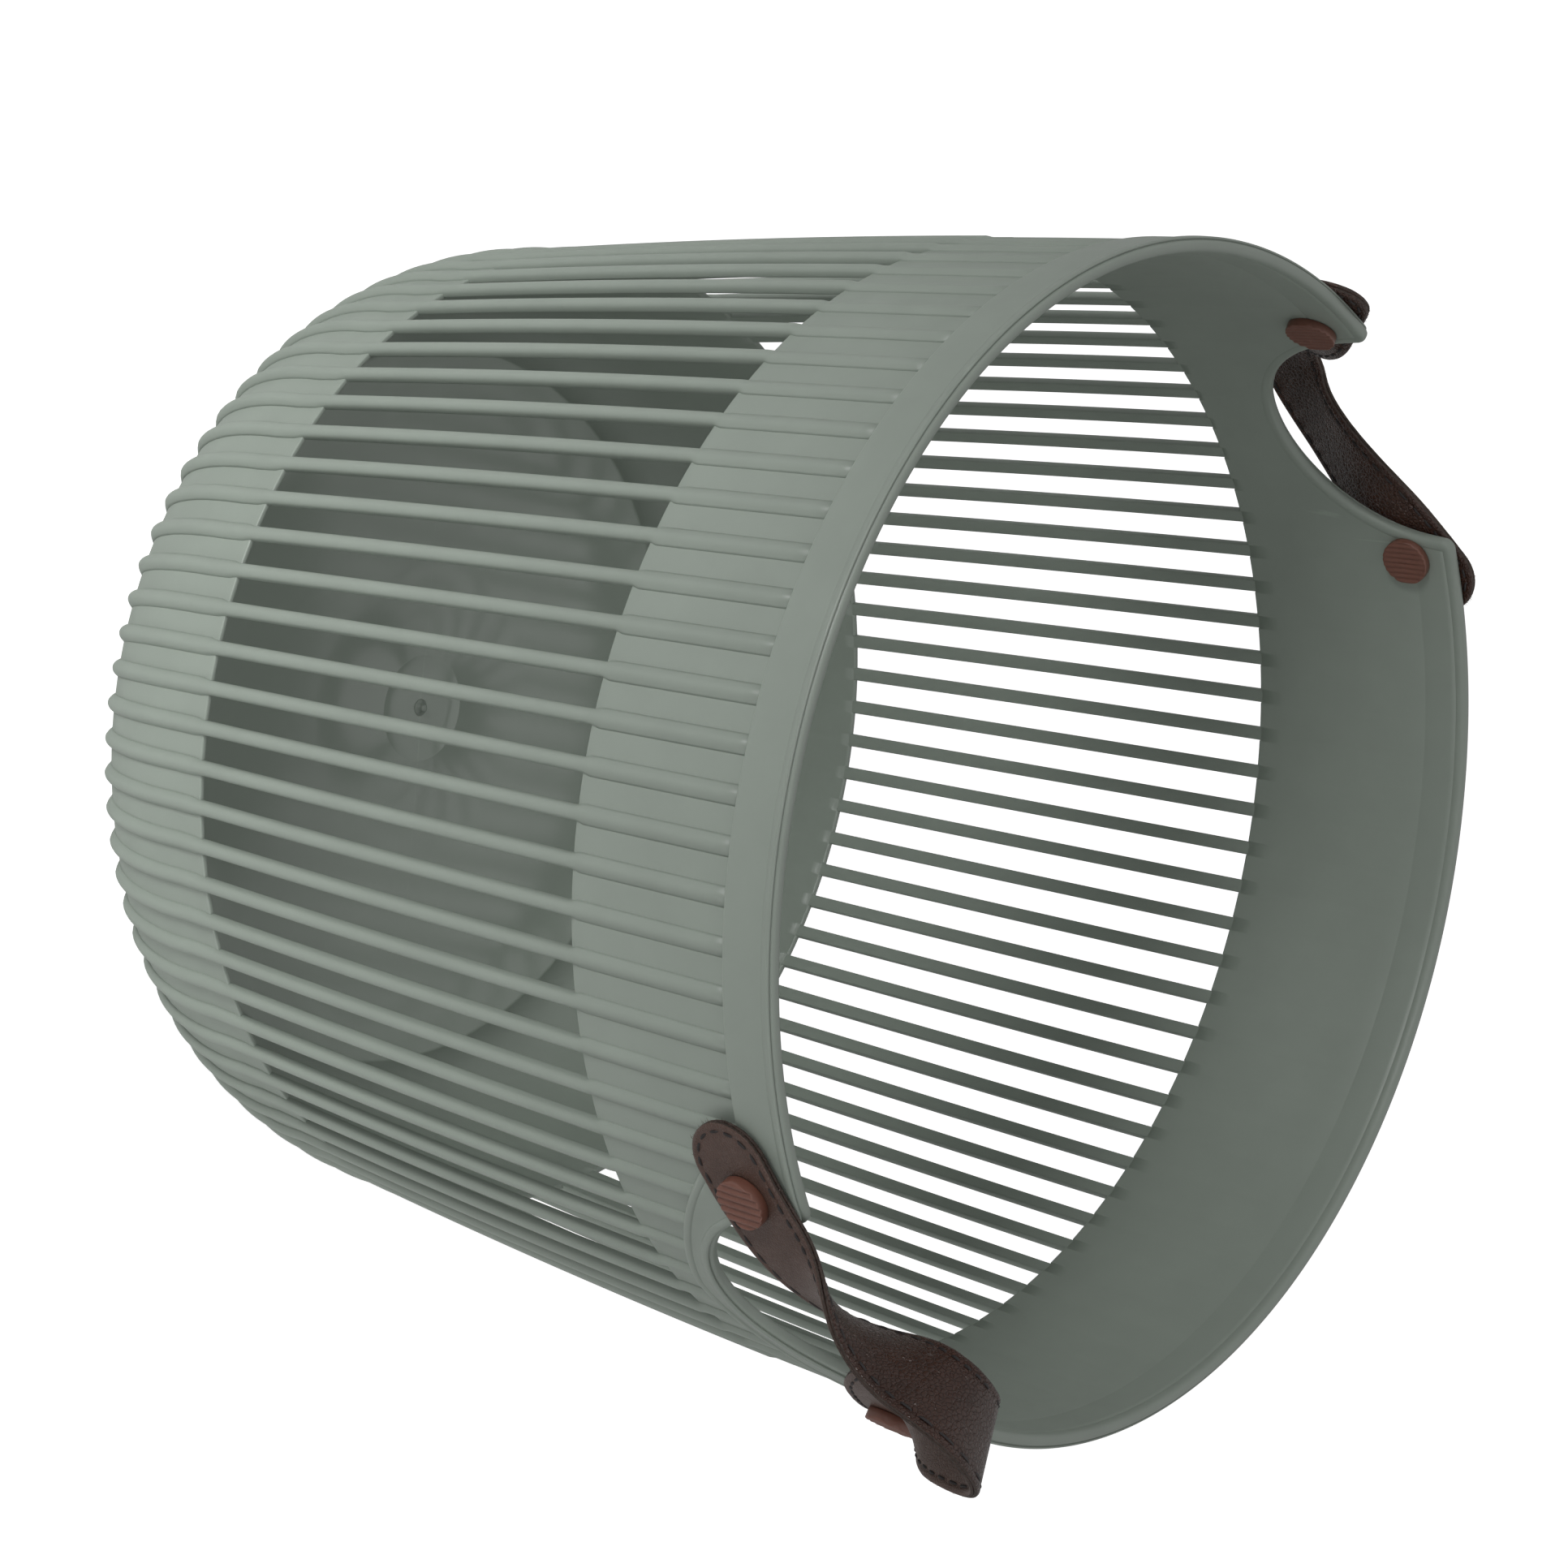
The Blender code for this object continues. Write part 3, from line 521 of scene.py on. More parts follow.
def band_top():
    """Angles and heights of the top band's upper edge, which hides inside the rim's lip."""
    places, _, up = rim_frames()
    line = places - up * BAND_BELOW_RIM
    angles = np.arctan2(line[:, 1], line[:, 0]) % (2 * math.pi)
    corner = math.asin((NOTCH_HALF_WIDTH + NOTCH_CORNER_RADIUS) / RIM_INNER_RADIUS)
    inside = np.abs(from_handle(angles)) <= corner
    spread = np.sort(np.concatenate([angles[inside], rib_columns() % (2 * math.pi)]))
    order = np.argsort(angles)
    return spread, np.interp(spread, angles[order], line[order, 2], period=2 * math.pi)


def build_top_band(shape):
    """The wall above the slots with the rim strip, cut down to each notch."""
    angles, tops = band_top()
    sizes = bpy.context.scene.basket_sizes
    low = SLOT_TOP_HEIGHT
    start = low + sizes.slot_rounding
    top = BASKET_HEIGHT - BAND_BELOW_RIM
    share = (tops - low) / (top - low)
    arc = np.abs(from_handle(angles)) * RIM_REACH
    away = ease((arc - STRIP_FADE_END) / STRIP_FADE_LENGTH)
    proud = RIM_STRIP_PROUD * (STRIP_LEAST_SHARE + (1 - STRIP_LEAST_SHARE) * away)
    rows = []

    def level(height, offset, follow=0.0, mark=0.0, recess=0.0):
        actual = low + (height - low) * (share if height > low + NOTCH_FOLLOW else 1.0)
        radius = inner_radius(actual) + offset + follow * proud
        radius = radius + mark * SINK_DEPTH * sink_marks(angles)
        radius = radius + recess * (sizes.bar_set_back + RECESS_CLEARANCE) * bar_recesses(angles)
        rows.append(on_body(angles, radius, actual))

    for lift, back in rounded_edge(90, 60, 30, 0):
        level(start - lift, WALL - back)
    for height in BAND_OUTER_HEIGHTS:
        level(height, WALL)
    for rise, follow in STRIP_FOOT:
        level(STRIP_BOTTOM + rise * MM, WALL, follow)
    for height in (*STRIP_OUTER_HEIGHTS, top):
        level(height, WALL, 1.0)
    for height in (top, *STRIP_INNER_HEIGHTS):
        level(height, 0.0)
    for height, offset in INNER_LINE:
        level(height, offset * MM * (share > 0.999))
    recess_top = low + RECESS_LENGTH
    for height in (*BAND_INNER_HEIGHTS, recess_top + RECESS_EDGE):
        level(height, 0.0, mark=1.0)
    level(recess_top, 0.0, recess=1.0)
    for lift, back in rounded_edge(0, 30, 60, 90):
        level(start - lift, back, recess=1.0)
    shape.grid(rows, ring=True, loop=True)


def rib_top(centre):
    """Where a rib ends: inside the rim strip, or just inside the flange."""
    arc = from_handle(centre) * RIM_REACH
    top = STRIP_BOTTOM + RIB_INTO_STRIP
    if abs(arc) < FLANGE_HALF_WIDTH:
        top = min(top, BASKET_HEIGHT - flange_edge_depth(arc) + RIB_INTO_FLANGE)
    return top


def rib_profile(width, proud, softness, radius, facets):
    """A rib's outer face as (across, out) pairs: half round at softness 0, with soft feet at 1."""
    turns = np.linspace(1, -1, facets + 1)
    across = width / 2 * (np.sin(math.pi / 2 * turns) * (1 - softness) + turns * softness)
    out = proud * (np.cos(math.pi / 2 * turns) * (1 - softness) + (1 - turns**2) ** 1.15 * softness)
    return np.stack([across, out - across**2 / (2 * radius)], axis=1)


def ease(share):
    share = np.clip(share, 0.0, 1.0)
    return share * share * (3 - 2 * share)


def rib_stations(top):
    """A rib's course: radius, height, the normal's two parts, and the rib's own three values."""
    stations = []
    for degrees in range(SHOULDER_RIB_START, 91, 4):
        turn = math.radians(degrees)
        radius, height = shoulder_point(turn, True)
        slope = Vector((SHOULDER_DEPTH * math.cos(turn), SHOULDER_HEIGHT * math.sin(turn))).normalized()
        risen = ease((degrees - SHOULDER_RIB_START) / SHOULDER_RIB_RISE)
        stations.append((radius, height, slope.y, -slope.x, SHOULDER_RIB * (1, risen, 1)))
    low = np.linspace(SHOULDER_HEIGHT, SLOT_BOTTOM_HEIGHT, 8)[1:]
    bar = np.linspace(SLOT_BOTTOM_HEIGHT, SLOT_TOP_HEIGHT, 18)[1:]
    high = SLOT_TOP_HEIGHT + np.array(BAND_RIB_RISES) * MM
    for height in [*low, *bar, *high[high < top - MM], top]:
        tilt = (float(wall_radius(height + MM)) - float(wall_radius(height))) / MM
        length = math.hypot(1.0, tilt)
        into_band = ease((height - SLOT_TOP_HEIGHT) / RIB_INTO_BAND)
        into_shoulder = ease((SLOT_BOTTOM_HEIGHT - height) / RIB_INTO_SHOULDER)
        rib = FREE_RIB + (BAND_RIB - FREE_RIB) * into_band + (SHOULDER_RIB - FREE_RIB) * into_shoulder
        stations.append((float(wall_radius(height)), height, 1 / length, -tilt / length, rib))
    return stations


def build_bars(shape):
    """Each rib from under the shoulder up to the rim strip; between the bands it is a free bar."""
    sizes = bpy.context.scene.basket_sizes
    half = RIB_WIDTH / 2
    inward = -(WALL - sizes.bar_set_back)
    back = [(-half, inward + BAR_CORNER), (-half + BAR_CHAMFER, inward + BAR_CHAMFER)]
    back += [(-half + BAR_CORNER, inward), (0.0, inward)]
    back += [(-across, out) for across, out in back[-2::-1]]
    for centre in rib_centres():
        direction = np.array([math.cos(centre), math.sin(centre), 0.0])
        side = np.array([-math.sin(centre), math.cos(centre), 0.0])
        rows = []
        for radius, height, out, up, rib in rib_stations(rib_top(centre)):
            face = rib_profile(*rib, radius, sizes.rib_rounding)
            section = np.vstack([face, back])
            normal = direction * out + np.array([0, 0, up])
            place = direction * radius + np.array([0, 0, height])
            rows.append(place + side * section[:, :1] + normal * section[:, 1:])
        shape.grid(rows, ring=True, ends=(True, True))


# The lip's section in millimetres: out of the wall's middle and up from the rim
RIM_SECTION = (
    (2.33, -3.1), (2.34, -1.5), (2.28, -1.12), (2.08, -0.90), (1.86, -0.84), (1.68, -0.88),
    (1.56, -1.08), (1.47, -1.20), (1.38, -1.16), (1.28, -0.84), (1.16, -0.60), (1.00, -0.36),
    (0.70, -0.14), (0.25, 0.0), (-0.35, 0.02), (-1.00, -0.06), (-1.55, -0.28), (-1.98, -0.72),
    (-2.22, -1.35), (-2.30, -2.1), (-2.24, -2.9), (-2.08, -3.5), (-1.7, -3.6), (1.9, -3.4),
)


def build_rim_lip(shape):
    """The rounded lip with its fine groove, along the rim and round both notches."""
    sweep(shape, *rim_frames(), np.array(RIM_SECTION) * MM, loop=True)


def flange_edge_depth(across):
    share = min(abs(across) / FLANGE_HALF_WIDTH, 1.0)
    drop = (1.0 - share**FLANGE_ROUNDNESS) ** (1.0 / FLANGE_ROUNDNESS)
    return FLANGE_TOP_DEPTH + (FLANGE_DEPTH - FLANGE_TOP_DEPTH) * drop


# The section of a flange's bead in millimetres: out of the wall and towards the notch
BEAD_SECTION = (
    (-0.6, -1.4), (1.7, -1.35), (2.3, -1.1), (2.6, -0.6), (2.72, 0.0), (2.62, 0.7), (2.36, 1.5), (-0.6, 1.6),
)


def build_flange(shape, middle):
    """The smooth plate round one notch, and the raised bead along its border."""
    angles, tops = band_top()
    arcs = ((angles - middle + math.pi) % (2 * math.pi) - math.pi) * RIM_REACH
    chosen = np.abs(arcs) < FLANGE_HALF_WIDTH - FLANGE_INSET
    order = np.argsort(arcs[chosen])
    arcs, tops = arcs[chosen][order], tops[chosen][order]
    ends = BASKET_HEIGHT - np.array([flange_edge_depth(arc) for arc in arcs])
    turned = arcs / RIM_REACH + middle
    outer, inner = [], []
    for share in np.linspace(0, 1, 14):
        height = tops + (ends - tops) * share
        dish = FLANGE_DISH * math.sin(math.pi * share) ** 2
        outer.append(on_body(turned, strip_radius(height) + FLANGE_PROUD - dish, height))
        inner.append(on_body(turned, inner_radius(height) + WALL * FLANGE_BACK_SHARE, height))
    shape.grid(outer + inner[::-1], loop=True)
    across = -BEAD_HALF_WIDTH * np.cos(np.linspace(0, math.pi, 121))
    turned = across / RIM_REACH + middle
    heights = BASKET_HEIGHT - np.array([flange_edge_depth(distance) for distance in across])
    places = on_body(turned, wall_radius(heights), heights)
    outward = on_body(turned, 1.0, 0.0)
    up = unit(np.cross(outward, unit(np.gradient(places, axis=0))))
    sweep(shape, places, outward, up, np.array(BEAD_SECTION) * MM)


def build_gate_mark(shape):
    """The sprue's nub in the middle of the floor's dish."""
    around = np.linspace(0, 2 * math.pi, 49)[:-1]
    rows = [on_body(around, radius * MM, FLOOR_THICKNESS + height * MM) for radius, height in NUB_OUTLINE]
    shape.grid(rows, ring=True, ends=(True, True))


# Strap shape


def wall_directions(angle):
    """The outward direction at an angle on the body, and the direction up the wall at the studs."""
    outward = Vector((math.cos(angle), math.sin(angle), 0.0))
    return outward, (Vector((0, 0, 1)) + outward * WALL_LEAN).normalized()


def seated_place(travel, tilt):
    """A point, heading and normal of the strap on the wall, for the handle at +X and its end at +Y."""
    height = STUD_HEIGHT + travel * math.sin(tilt)
    angle = (STUD_SPREAD - travel * math.cos(tilt)) / STUD_REACH
    outward, up = wall_directions(angle)
    along = Vector((math.sin(angle), -math.cos(angle), 0.0))
    reach = float(strip_radius(height)) + STRAP_STAND_OFF + STRAP_FACE
    point = outward * reach + Vector((0, 0, height))
    ahead = (along * math.cos(tilt) + up * math.sin(tilt)).normalized()
    return point, ahead, up.cross(along).normalized()


def free_place(share, bend):
    """A point, heading and normal on the free curve from the stud to the loop's middle."""
    start, ahead, normal = seated_place(bend["seated"], bend["tilt"])
    finish = Vector((RIM_REACH + bend["out"], bend["across"], BASKET_HEIGHT + bend["rise"]))
    slope = Vector(bend["slope"]).normalized()
    first = start + ahead * bend["leave_pull"]
    second = finish - slope * bend["middle_pull"]
    rest = 1 - share
    point = start * rest**3 + finish * share**3
    point += first * 3 * rest**2 * share + second * 3 * rest * share**2
    heading = (first - start) * rest**2 + (finish - second) * share**2
    heading += (second - first) * 2 * rest * share
    heading.normalize()
    base = normal * rest + Vector((share, 0.0, 0.0))
    base = (base - heading * base.dot(heading)).normalized()
    done = min(share / bend["turn_share"], 1.0)
    angle = bend["turn"] * done * done * (3 - 2 * done)
    return point, heading, base * math.cos(angle) - heading.cross(base) * math.sin(angle)


class StrapHalf:
    """One half of a strap, from its round tail to the loop's middle, in the basket's frame."""

    def __init__(self, handle, hand_word):
        self.side = HANDLES[handle]["side"]
        self.hand = HANDS[hand_word]
        self.bend = HANDLES[handle]["halves"][hand_word]
        self.shares = np.linspace(0, 1, CURVE_SAMPLES + 1)
        self.lengths = lengths_along(np.array([free_place(share, self.bend)[0] for share in self.shares]))
        self.end = self.bend["seated"] + self.lengths[-1]

    def place(self, travel):
        """Middle, direction across, and outward normal at a length from the stud."""
        if travel <= self.bend["seated"]:
            point, ahead, normal = seated_place(travel, self.bend["tilt"])
        else:
            share = float(np.interp(travel - self.bend["seated"], self.lengths, self.shares))
            point, ahead, normal = free_place(share, self.bend)
        across = ahead.cross(normal).normalized()
        flip = Vector((self.side, self.side * self.hand, 1))
        return [np.array(vector * flip) for vector in (point, across, normal)]

    def at(self, travel, across):
        point, side, _ = self.place(travel)
        return point + side * across

    def mark(self, distance):
        """The point at a stud's height where the strap is a distance from the handle's middle."""
        return (self.side * BLEND_REACH, self.side * self.hand * distance, BLEND_HEIGHT)


def edge_distance(travel, across):
    """How far a point of the strap's face is from its edge."""
    if travel >= TAIL_CENTRE:
        return STRAP_WIDTH / 2 - abs(across)
    return STRAP_WIDTH / 2 - math.hypot(across, travel - TAIL_CENTRE)


def face_relief(inside, inset):
    """How far a face lies up or down at a distance inside its edge, with the seam at inset."""
    seam = -SEAM_DIP * math.exp(-(((inside - inset) / SEAM_REACH) ** 2))
    bead = BEAD_RISE * math.exp(-(((inside - BEAD_INSET) / BEAD_REACH) ** 2))
    return seam + bead - BORDER_DROP * math.exp(-((inside / BORDER_REACH) ** 1.5))


def strap_layer(shape, half, outward, seed):
    """One layer of half a strap. outward is 1 for the outer leather and -1 for the lining."""
    inset = bpy.context.scene.basket_sizes.stitch_inset
    stations = []
    for degrees in TAIL_TURNS:
        turn = math.radians(degrees)
        travel = TAIL_CENTRE - STRAP_WIDTH / 2 * math.cos(turn)
        stations.append((travel, STRAP_WIDTH / 2 * math.sin(turn)))
    run = half.end - TAIL_CENTRE
    count = int(run / STRAP_STEP)
    stations += [(TAIL_CENTRE + run * step / count, STRAP_WIDTH / 2) for step in range(count + 1)]
    shares = [-share for share in FACE_SHARES] + [0.0] + list(FACE_SHARES[::-1])
    rows = []
    offset = Vector((seed * 3.7, seed * 1.3, 0.0))
    for travel, wide in stations:
        point, side, normal = half.place(travel)
        uneven = min((half.end - travel) / EVEN_END, 1.0)
        row = []
        for share in shares:
            across = wide * share
            spot = Vector((travel * 60, across * 60, 0.0)) + offset
            relief = face_relief(max(edge_distance(travel, across), 0.0), inset)
            relief += (BROAD_RELIEF * noise.noise(spot) + FINE_RELIEF * noise.noise(spot * 5.3)) * uneven
            row.append(point + side * across + normal * outward * (STRAP_FACE + relief))
        for wide_share, out_share in EDGE_SHARES:
            spot = Vector((travel * 900, wide_share * 4.0 + out_share * 3, seed * 2.0))
            fray = (BROAD_FRAY * noise.noise(spot) + FINE_FRAY * noise.noise(spot * 2.7)) * uneven
            bulge = EDGE_BULGE if out_share == 0.34 else 0.0
            across = wide_share * (wide + fray + bulge)
            row.append(point + side * across + normal * outward * STRAP_FACE * out_share)
        rows.append(row)
    finishes = [0] * (len(shares) - 1) + [1, 1, 1, 0, 1, 1, 1]
    shape.grid(
        rows, ring=True, ends=(True, False), finish=lambda row, column: finishes[column],
        flip=outward * half.hand > 0,
    )


def seam_line(half):
    """Lengths and distances across of the seam, from the middle round the tail and back."""
    radius = STRAP_WIDTH / 2 - bpy.context.scene.basket_sizes.stitch_inset
    line = [(travel, radius) for travel in np.arange(half.end, TAIL_CENTRE, -SEAM_STEP)]
    turns = np.linspace(math.pi / 2, -math.pi / 2, 70)
    line += [(TAIL_CENTRE - radius * math.cos(turn), radius * math.sin(turn)) for turn in turns]
    line += [(travel, -radius) for travel in np.arange(TAIL_CENTRE, half.end, SEAM_STEP)]
    return np.array(line)


def strap_stitches(shape, half, seed):
    """The stitches on both faces of half a strap."""
    sizes = bpy.context.scene.basket_sizes
    line = seam_line(half)
    along = lengths_along(line)
    around = np.linspace(0, 2 * math.pi, 9)[:-1]
    section = np.stack([np.cos(around), np.sin(around)], axis=1)
    picker = random.Random(seed)
    for outward in (1, -1):
        travelled = sizes.stitch_pitch * FIRST_STITCH_SHARE
        while travelled + sizes.stitch_length < along[-1]:
            length = sizes.stitch_length * (1 + picker.uniform(-STITCH_SPREAD, STITCH_SPREAD))
            drift = picker.uniform(-STITCH_DRIFT, STITCH_DRIFT)
            places, ups, scales = [], [], []
            for share, size, rise in STITCH_COURSE:
                distance = travelled + length * share
                travel = float(np.interp(distance, along, line[:, 0]))
                across = float(np.interp(distance, along, line[:, 1]))
                point, side, normal = half.place(travel)
                out = outward * (STRAP_FACE + rise * MM - STITCH_SINK)
                places.append(point + side * (across + drift) + normal * out)
                ups.append(normal * outward)
                scales.append(size * sizes.thread_radius)
            places, ups = np.array(places), np.array(ups)
            sides = unit(np.cross(ups, unit(np.gradient(places, axis=0))))
            sweep(shape, places, sides, ups, section, scales=np.array(scales))
            travelled += sizes.stitch_pitch


def strap_fibres(shape, half, seed):
    """Short fibres that stand out of the cut edge round the tail and along the sides."""
    picker = random.Random(seed)
    radius = STRAP_WIDTH / 2 - FIBRE_ROOT
    section = np.array([(1, 0), (-0.5, 0.87), (-0.5, -0.87)]) * FIBRE_RADIUS
    for _ in range(FIBRE_COUNT):
        turn = picker.uniform(-math.pi / 2, math.pi / 2)
        travel = TAIL_CENTRE - radius * math.cos(turn)
        across = radius * math.sin(turn)
        if picker.random() < SIDE_FIBRE_SHARE:
            travel = picker.uniform(TAIL_CENTRE, half.end - FIBRE_END)
            across = math.copysign(radius, turn)
        point, side, normal = half.place(travel)
        start = point + side * across + normal * picker.uniform(-FIBRE_SPREAD, FIBRE_SPREAD)
        ahead = unit(half.at(travel + FIBRE_PROBE, across) - half.at(travel, across))
        if travel < TAIL_CENTRE:
            away = unit(side * math.sin(turn) - ahead * math.cos(turn))
        else:
            away = side * math.copysign(1.0, across)
        lean = ahead * picker.uniform(-0.9, 0.9) + normal * picker.uniform(-0.5, 0.5)
        length = picker.uniform(*FIBRE_LENGTHS)
        tips = [start + away * length * share + lean * length * share**2 for share in (0, 0.4, 0.75, 1.0)]
        places = np.array(tips)
        tangents = unit(np.gradient(places, axis=0))
        sides = unit(np.cross(tangents, normal + 0.01))
        ups = np.cross(tangents, sides)
        sweep(shape, places, sides, ups, section, scales=np.array([1.3, 1.0, 0.7, 0.25]))


# Stud shape


def stud_frame(side, hand):
    """The matrix at a stud: X along the rim, Y up the wall, Z out of the wall, on the inner wall."""
    angle = hand * STUD_SPREAD / STUD_REACH + (0.0 if side > 0 else math.pi)
    outward, up = wall_directions(angle)
    along = Vector((-math.sin(angle), math.cos(angle), 0.0))
    origin = outward * float(inner_radius(STUD_HEIGHT)) + Vector((0, 0, STUD_HEIGHT))
    columns = Matrix((along, up, along.cross(up))).transposed().to_4x4()
    return Matrix.Translation(origin) @ columns


def ridged_disc(shape, place, seat, head, ridges, depth):
    """A round head with a ridged face; its ridges run along place's Y."""
    around = np.linspace(0, 2 * math.pi, 73)[:-1]
    radius = STUD_RADIUS
    rows = []

    def ring(reach, base, waved):
        x, y = reach * np.cos(around), reach * np.sin(around)
        phase = (x / (2 * radius) + 0.5) * ridges * math.pi
        wave = depth * (1 - np.abs(np.sin(phase)) ** 0.8)
        rows.append(np.stack([x, y, base - wave * waved], axis=1))

    for share, rise in HEAD_FOOT:
        ring(radius * share, seat + rise, 0.0)
    ring(radius, seat + (head - seat) * 0.45, 0.0)
    for inset, drop in HEAD_BRIM:
        ring(radius - inset, head - drop, 1.0)
    for share in np.linspace(0.95, 0.04, 22):
        ring((radius - inset) * share, head, 1.0)
    turn = np.array(place)
    shape.grid(np.array(rows) @ turn[:3, :3].T + turn[:3, 3], ring=True, ends=(True, True))


# Finishes


def fill(node, values):
    """Gives inputs their values. A (node, output) pair is linked, and any other value is set."""
    for socket, value in values.items():
        if isinstance(value, tuple) and isinstance(value[0], bpy.types.Node):
            source, output = value
            node.id_data.links.new(source.outputs[output], node.inputs[socket])
        else:
            node.inputs[socket].default_value = value


def add(tree, kind, values=None, **settings):
    """The next node of a row, with its settings and the values of its inputs."""
    made = tree.nodes.new(kind)
    made.location = (200 * len(tree.nodes), 0)
    for name, value in settings.items():
        setattr(made, name, value)
    fill(made, values or {})
    return made


def new_group(name, inputs, outputs):
    """An empty shader node group with named inputs, their values, and named outputs."""
    tree = bpy.data.node_groups.new(name, "ShaderNodeTree")
    for socket, value in inputs.items():
        kind = "NodeSocketColor" if isinstance(value, tuple) else "NodeSocketFloat"
        tree.interface.new_socket(name=socket, in_out="INPUT", socket_type=kind).default_value = value
    for socket, kind in outputs.items():
        tree.interface.new_socket(name=socket, in_out="OUTPUT", socket_type=kind)
    return tree, add(tree, "NodeGroupInput"), add(tree, "NodeGroupOutput")


def mottle_group():
    """Two near colours that drift into each other, and a roughness that drifts with them."""
    tree, given, out = new_group(
        "mottled_colour",
        {
            "Base": (0.5, 0.5, 0.5, 1), "Second": (0.4, 0.4, 0.4, 1), "Scale": 20.0,
            "Smooth": 0.4, "Dull": 0.6,
        },
        {"Colour": "NodeSocketColor", "Roughness": "NodeSocketFloat"},
    )
    place = (add(tree, "ShaderNodeTexCoord"), "Object")
    scale = (given, "Scale")
    broad = add(tree, "ShaderNodeTexNoise", {"Vector": place, "Scale": scale, "Detail": 5.0})
    finer = add(tree, "ShaderNodeMath", {0: scale, 1: 7.0}, operation="MULTIPLY")
    fine = add(tree, "ShaderNodeTexNoise", {"Vector": place, "Scale": (finer, 0), "Detail": 3.0})
    blend = add(tree, "ShaderNodeMix", {0: 0.4, 2: (broad, 0), 3: (fine, 0)}, data_type="FLOAT")
    spread = add(tree, "ShaderNodeMapRange", {"Value": (blend, 0), "From Min": 0.32, "From Max": 0.68})
    colours = {0: (spread, 0), 6: (given, "Base"), 7: (given, "Second")}
    mixed = add(tree, "ShaderNodeMix", colours, data_type="RGBA")
    levels = {0: (spread, 0), 2: (given, "Smooth"), 3: (given, "Dull")}
    rough = add(tree, "ShaderNodeMix", levels, data_type="FLOAT")
    fill(out, {"Colour": (mixed, 2), "Roughness": (rough, 0)})
    return tree


def grain_group():
    """A fine moulding or skin grain as a height."""
    tree, given, out = new_group(
        "fine_grain", {"Scale": 1500.0, "Broad": 0.3}, {"Height": "NodeSocketFloat"}
    )
    place = (add(tree, "ShaderNodeTexCoord"), "Object")
    scale = (given, "Scale")
    fine = add(tree, "ShaderNodeTexNoise", {"Vector": place, "Scale": scale, "Detail": 4.0})
    divided = add(tree, "ShaderNodeMath", {0: scale, 1: 0.06}, operation="MULTIPLY")
    slow = add(tree, "ShaderNodeTexNoise", {"Vector": place, "Scale": (divided, 0)})
    part = add(tree, "ShaderNodeMath", {0: (slow, 0), 1: (given, "Broad")}, operation="MULTIPLY")
    total = add(tree, "ShaderNodeMath", {0: (fine, 0), 1: (part, 0)}, operation="ADD")
    fill(out, {"Height": (total, 0)})
    return tree


def pebble_group():
    """Leather pebbles with creases between them, as a height."""
    tree, given, out = new_group(
        "pebbled_leather",
        {"Scale": 900.0, "Warp": 0.0006, "Crease": 0.25},
        {"Height": "NodeSocketFloat"},
    )
    place = (add(tree, "ShaderNodeTexCoord"), "Object")
    stir = add(tree, "ShaderNodeTexNoise", {"Vector": place, "Scale": 400.0})
    centred = add(tree, "ShaderNodeVectorMath", {0: (stir, 1), 1: (0.5, 0.5, 0.5)}, operation="SUBTRACT")
    warp = {0: (centred, 0), "Scale": (given, "Warp")}
    scaled = add(tree, "ShaderNodeVectorMath", warp, operation="SCALE")
    moved = add(tree, "ShaderNodeVectorMath", {0: place, 1: (scaled, 0)}, operation="ADD")
    skin = {"Vector": (moved, 0), "Scale": (given, "Scale")}
    cells = add(tree, "ShaderNodeTexVoronoi", feature="DISTANCE_TO_EDGE")
    hills = add(tree, "ShaderNodeTexVoronoi", feature="SMOOTH_F1")
    for texture in (cells, hills):
        fill(texture, skin)
    flanks = {"Value": (cells, "Distance"), "From Max": (given, "Crease")}
    edge = add(tree, "ShaderNodeMapRange", flanks, interpolation_type="SMOOTHSTEP")
    dome = add(tree, "ShaderNodeMath", {0: (hills, "Distance"), 1: -0.45}, operation="MULTIPLY")
    total = add(tree, "ShaderNodeMath", {0: (edge, 0), 1: (dome, 0)}, operation="ADD")
    fill(out, {"Height": (total, 0)})
    return tree


def wear_and_highlight_group():
    """Lightens a colour along convex edges: rubbed edges, and on the sage plastic also a painted highlight
    along the rim's lip and the bars' crests.
    """
    tree, given, out = new_group(
        "edge_wear",
        {"Colour": (0.5, 0.5, 0.5, 1), "Worn": (0.7, 0.7, 0.7, 1), "Amount": 0.4},
        {"Colour": "NodeSocketColor"},
    )
    convex = (add(tree, "ShaderNodeNewGeometry"), "Pointiness")
    spread = add(tree, "ShaderNodeMapRange", {"Value": convex, "From Min": 0.52, "From Max": 0.62})
    broken = add(tree, "ShaderNodeTexNoise", {"Scale": 260.0})
    softened = add(tree, "ShaderNodeMath", {0: (spread, 0), 1: (broken, 0)}, operation="MULTIPLY")
    amount = {0: (softened, 0), 1: (given, "Amount")}
    share = add(tree, "ShaderNodeMath", amount, operation="MULTIPLY", use_clamp=True)
    colours = {0: (share, 0), 6: (given, "Colour"), 7: (given, "Worn")}
    mixed = add(tree, "ShaderNodeMix", colours, data_type="RGBA")
    fill(out, {"Colour": (mixed, 2)})
    return tree


NODE_GROUPS = {
    "mottled_colour": mottle_group,
    "edge_wear": wear_and_highlight_group,
    "fine_grain": grain_group,
    "pebbled_leather": pebble_group,
}
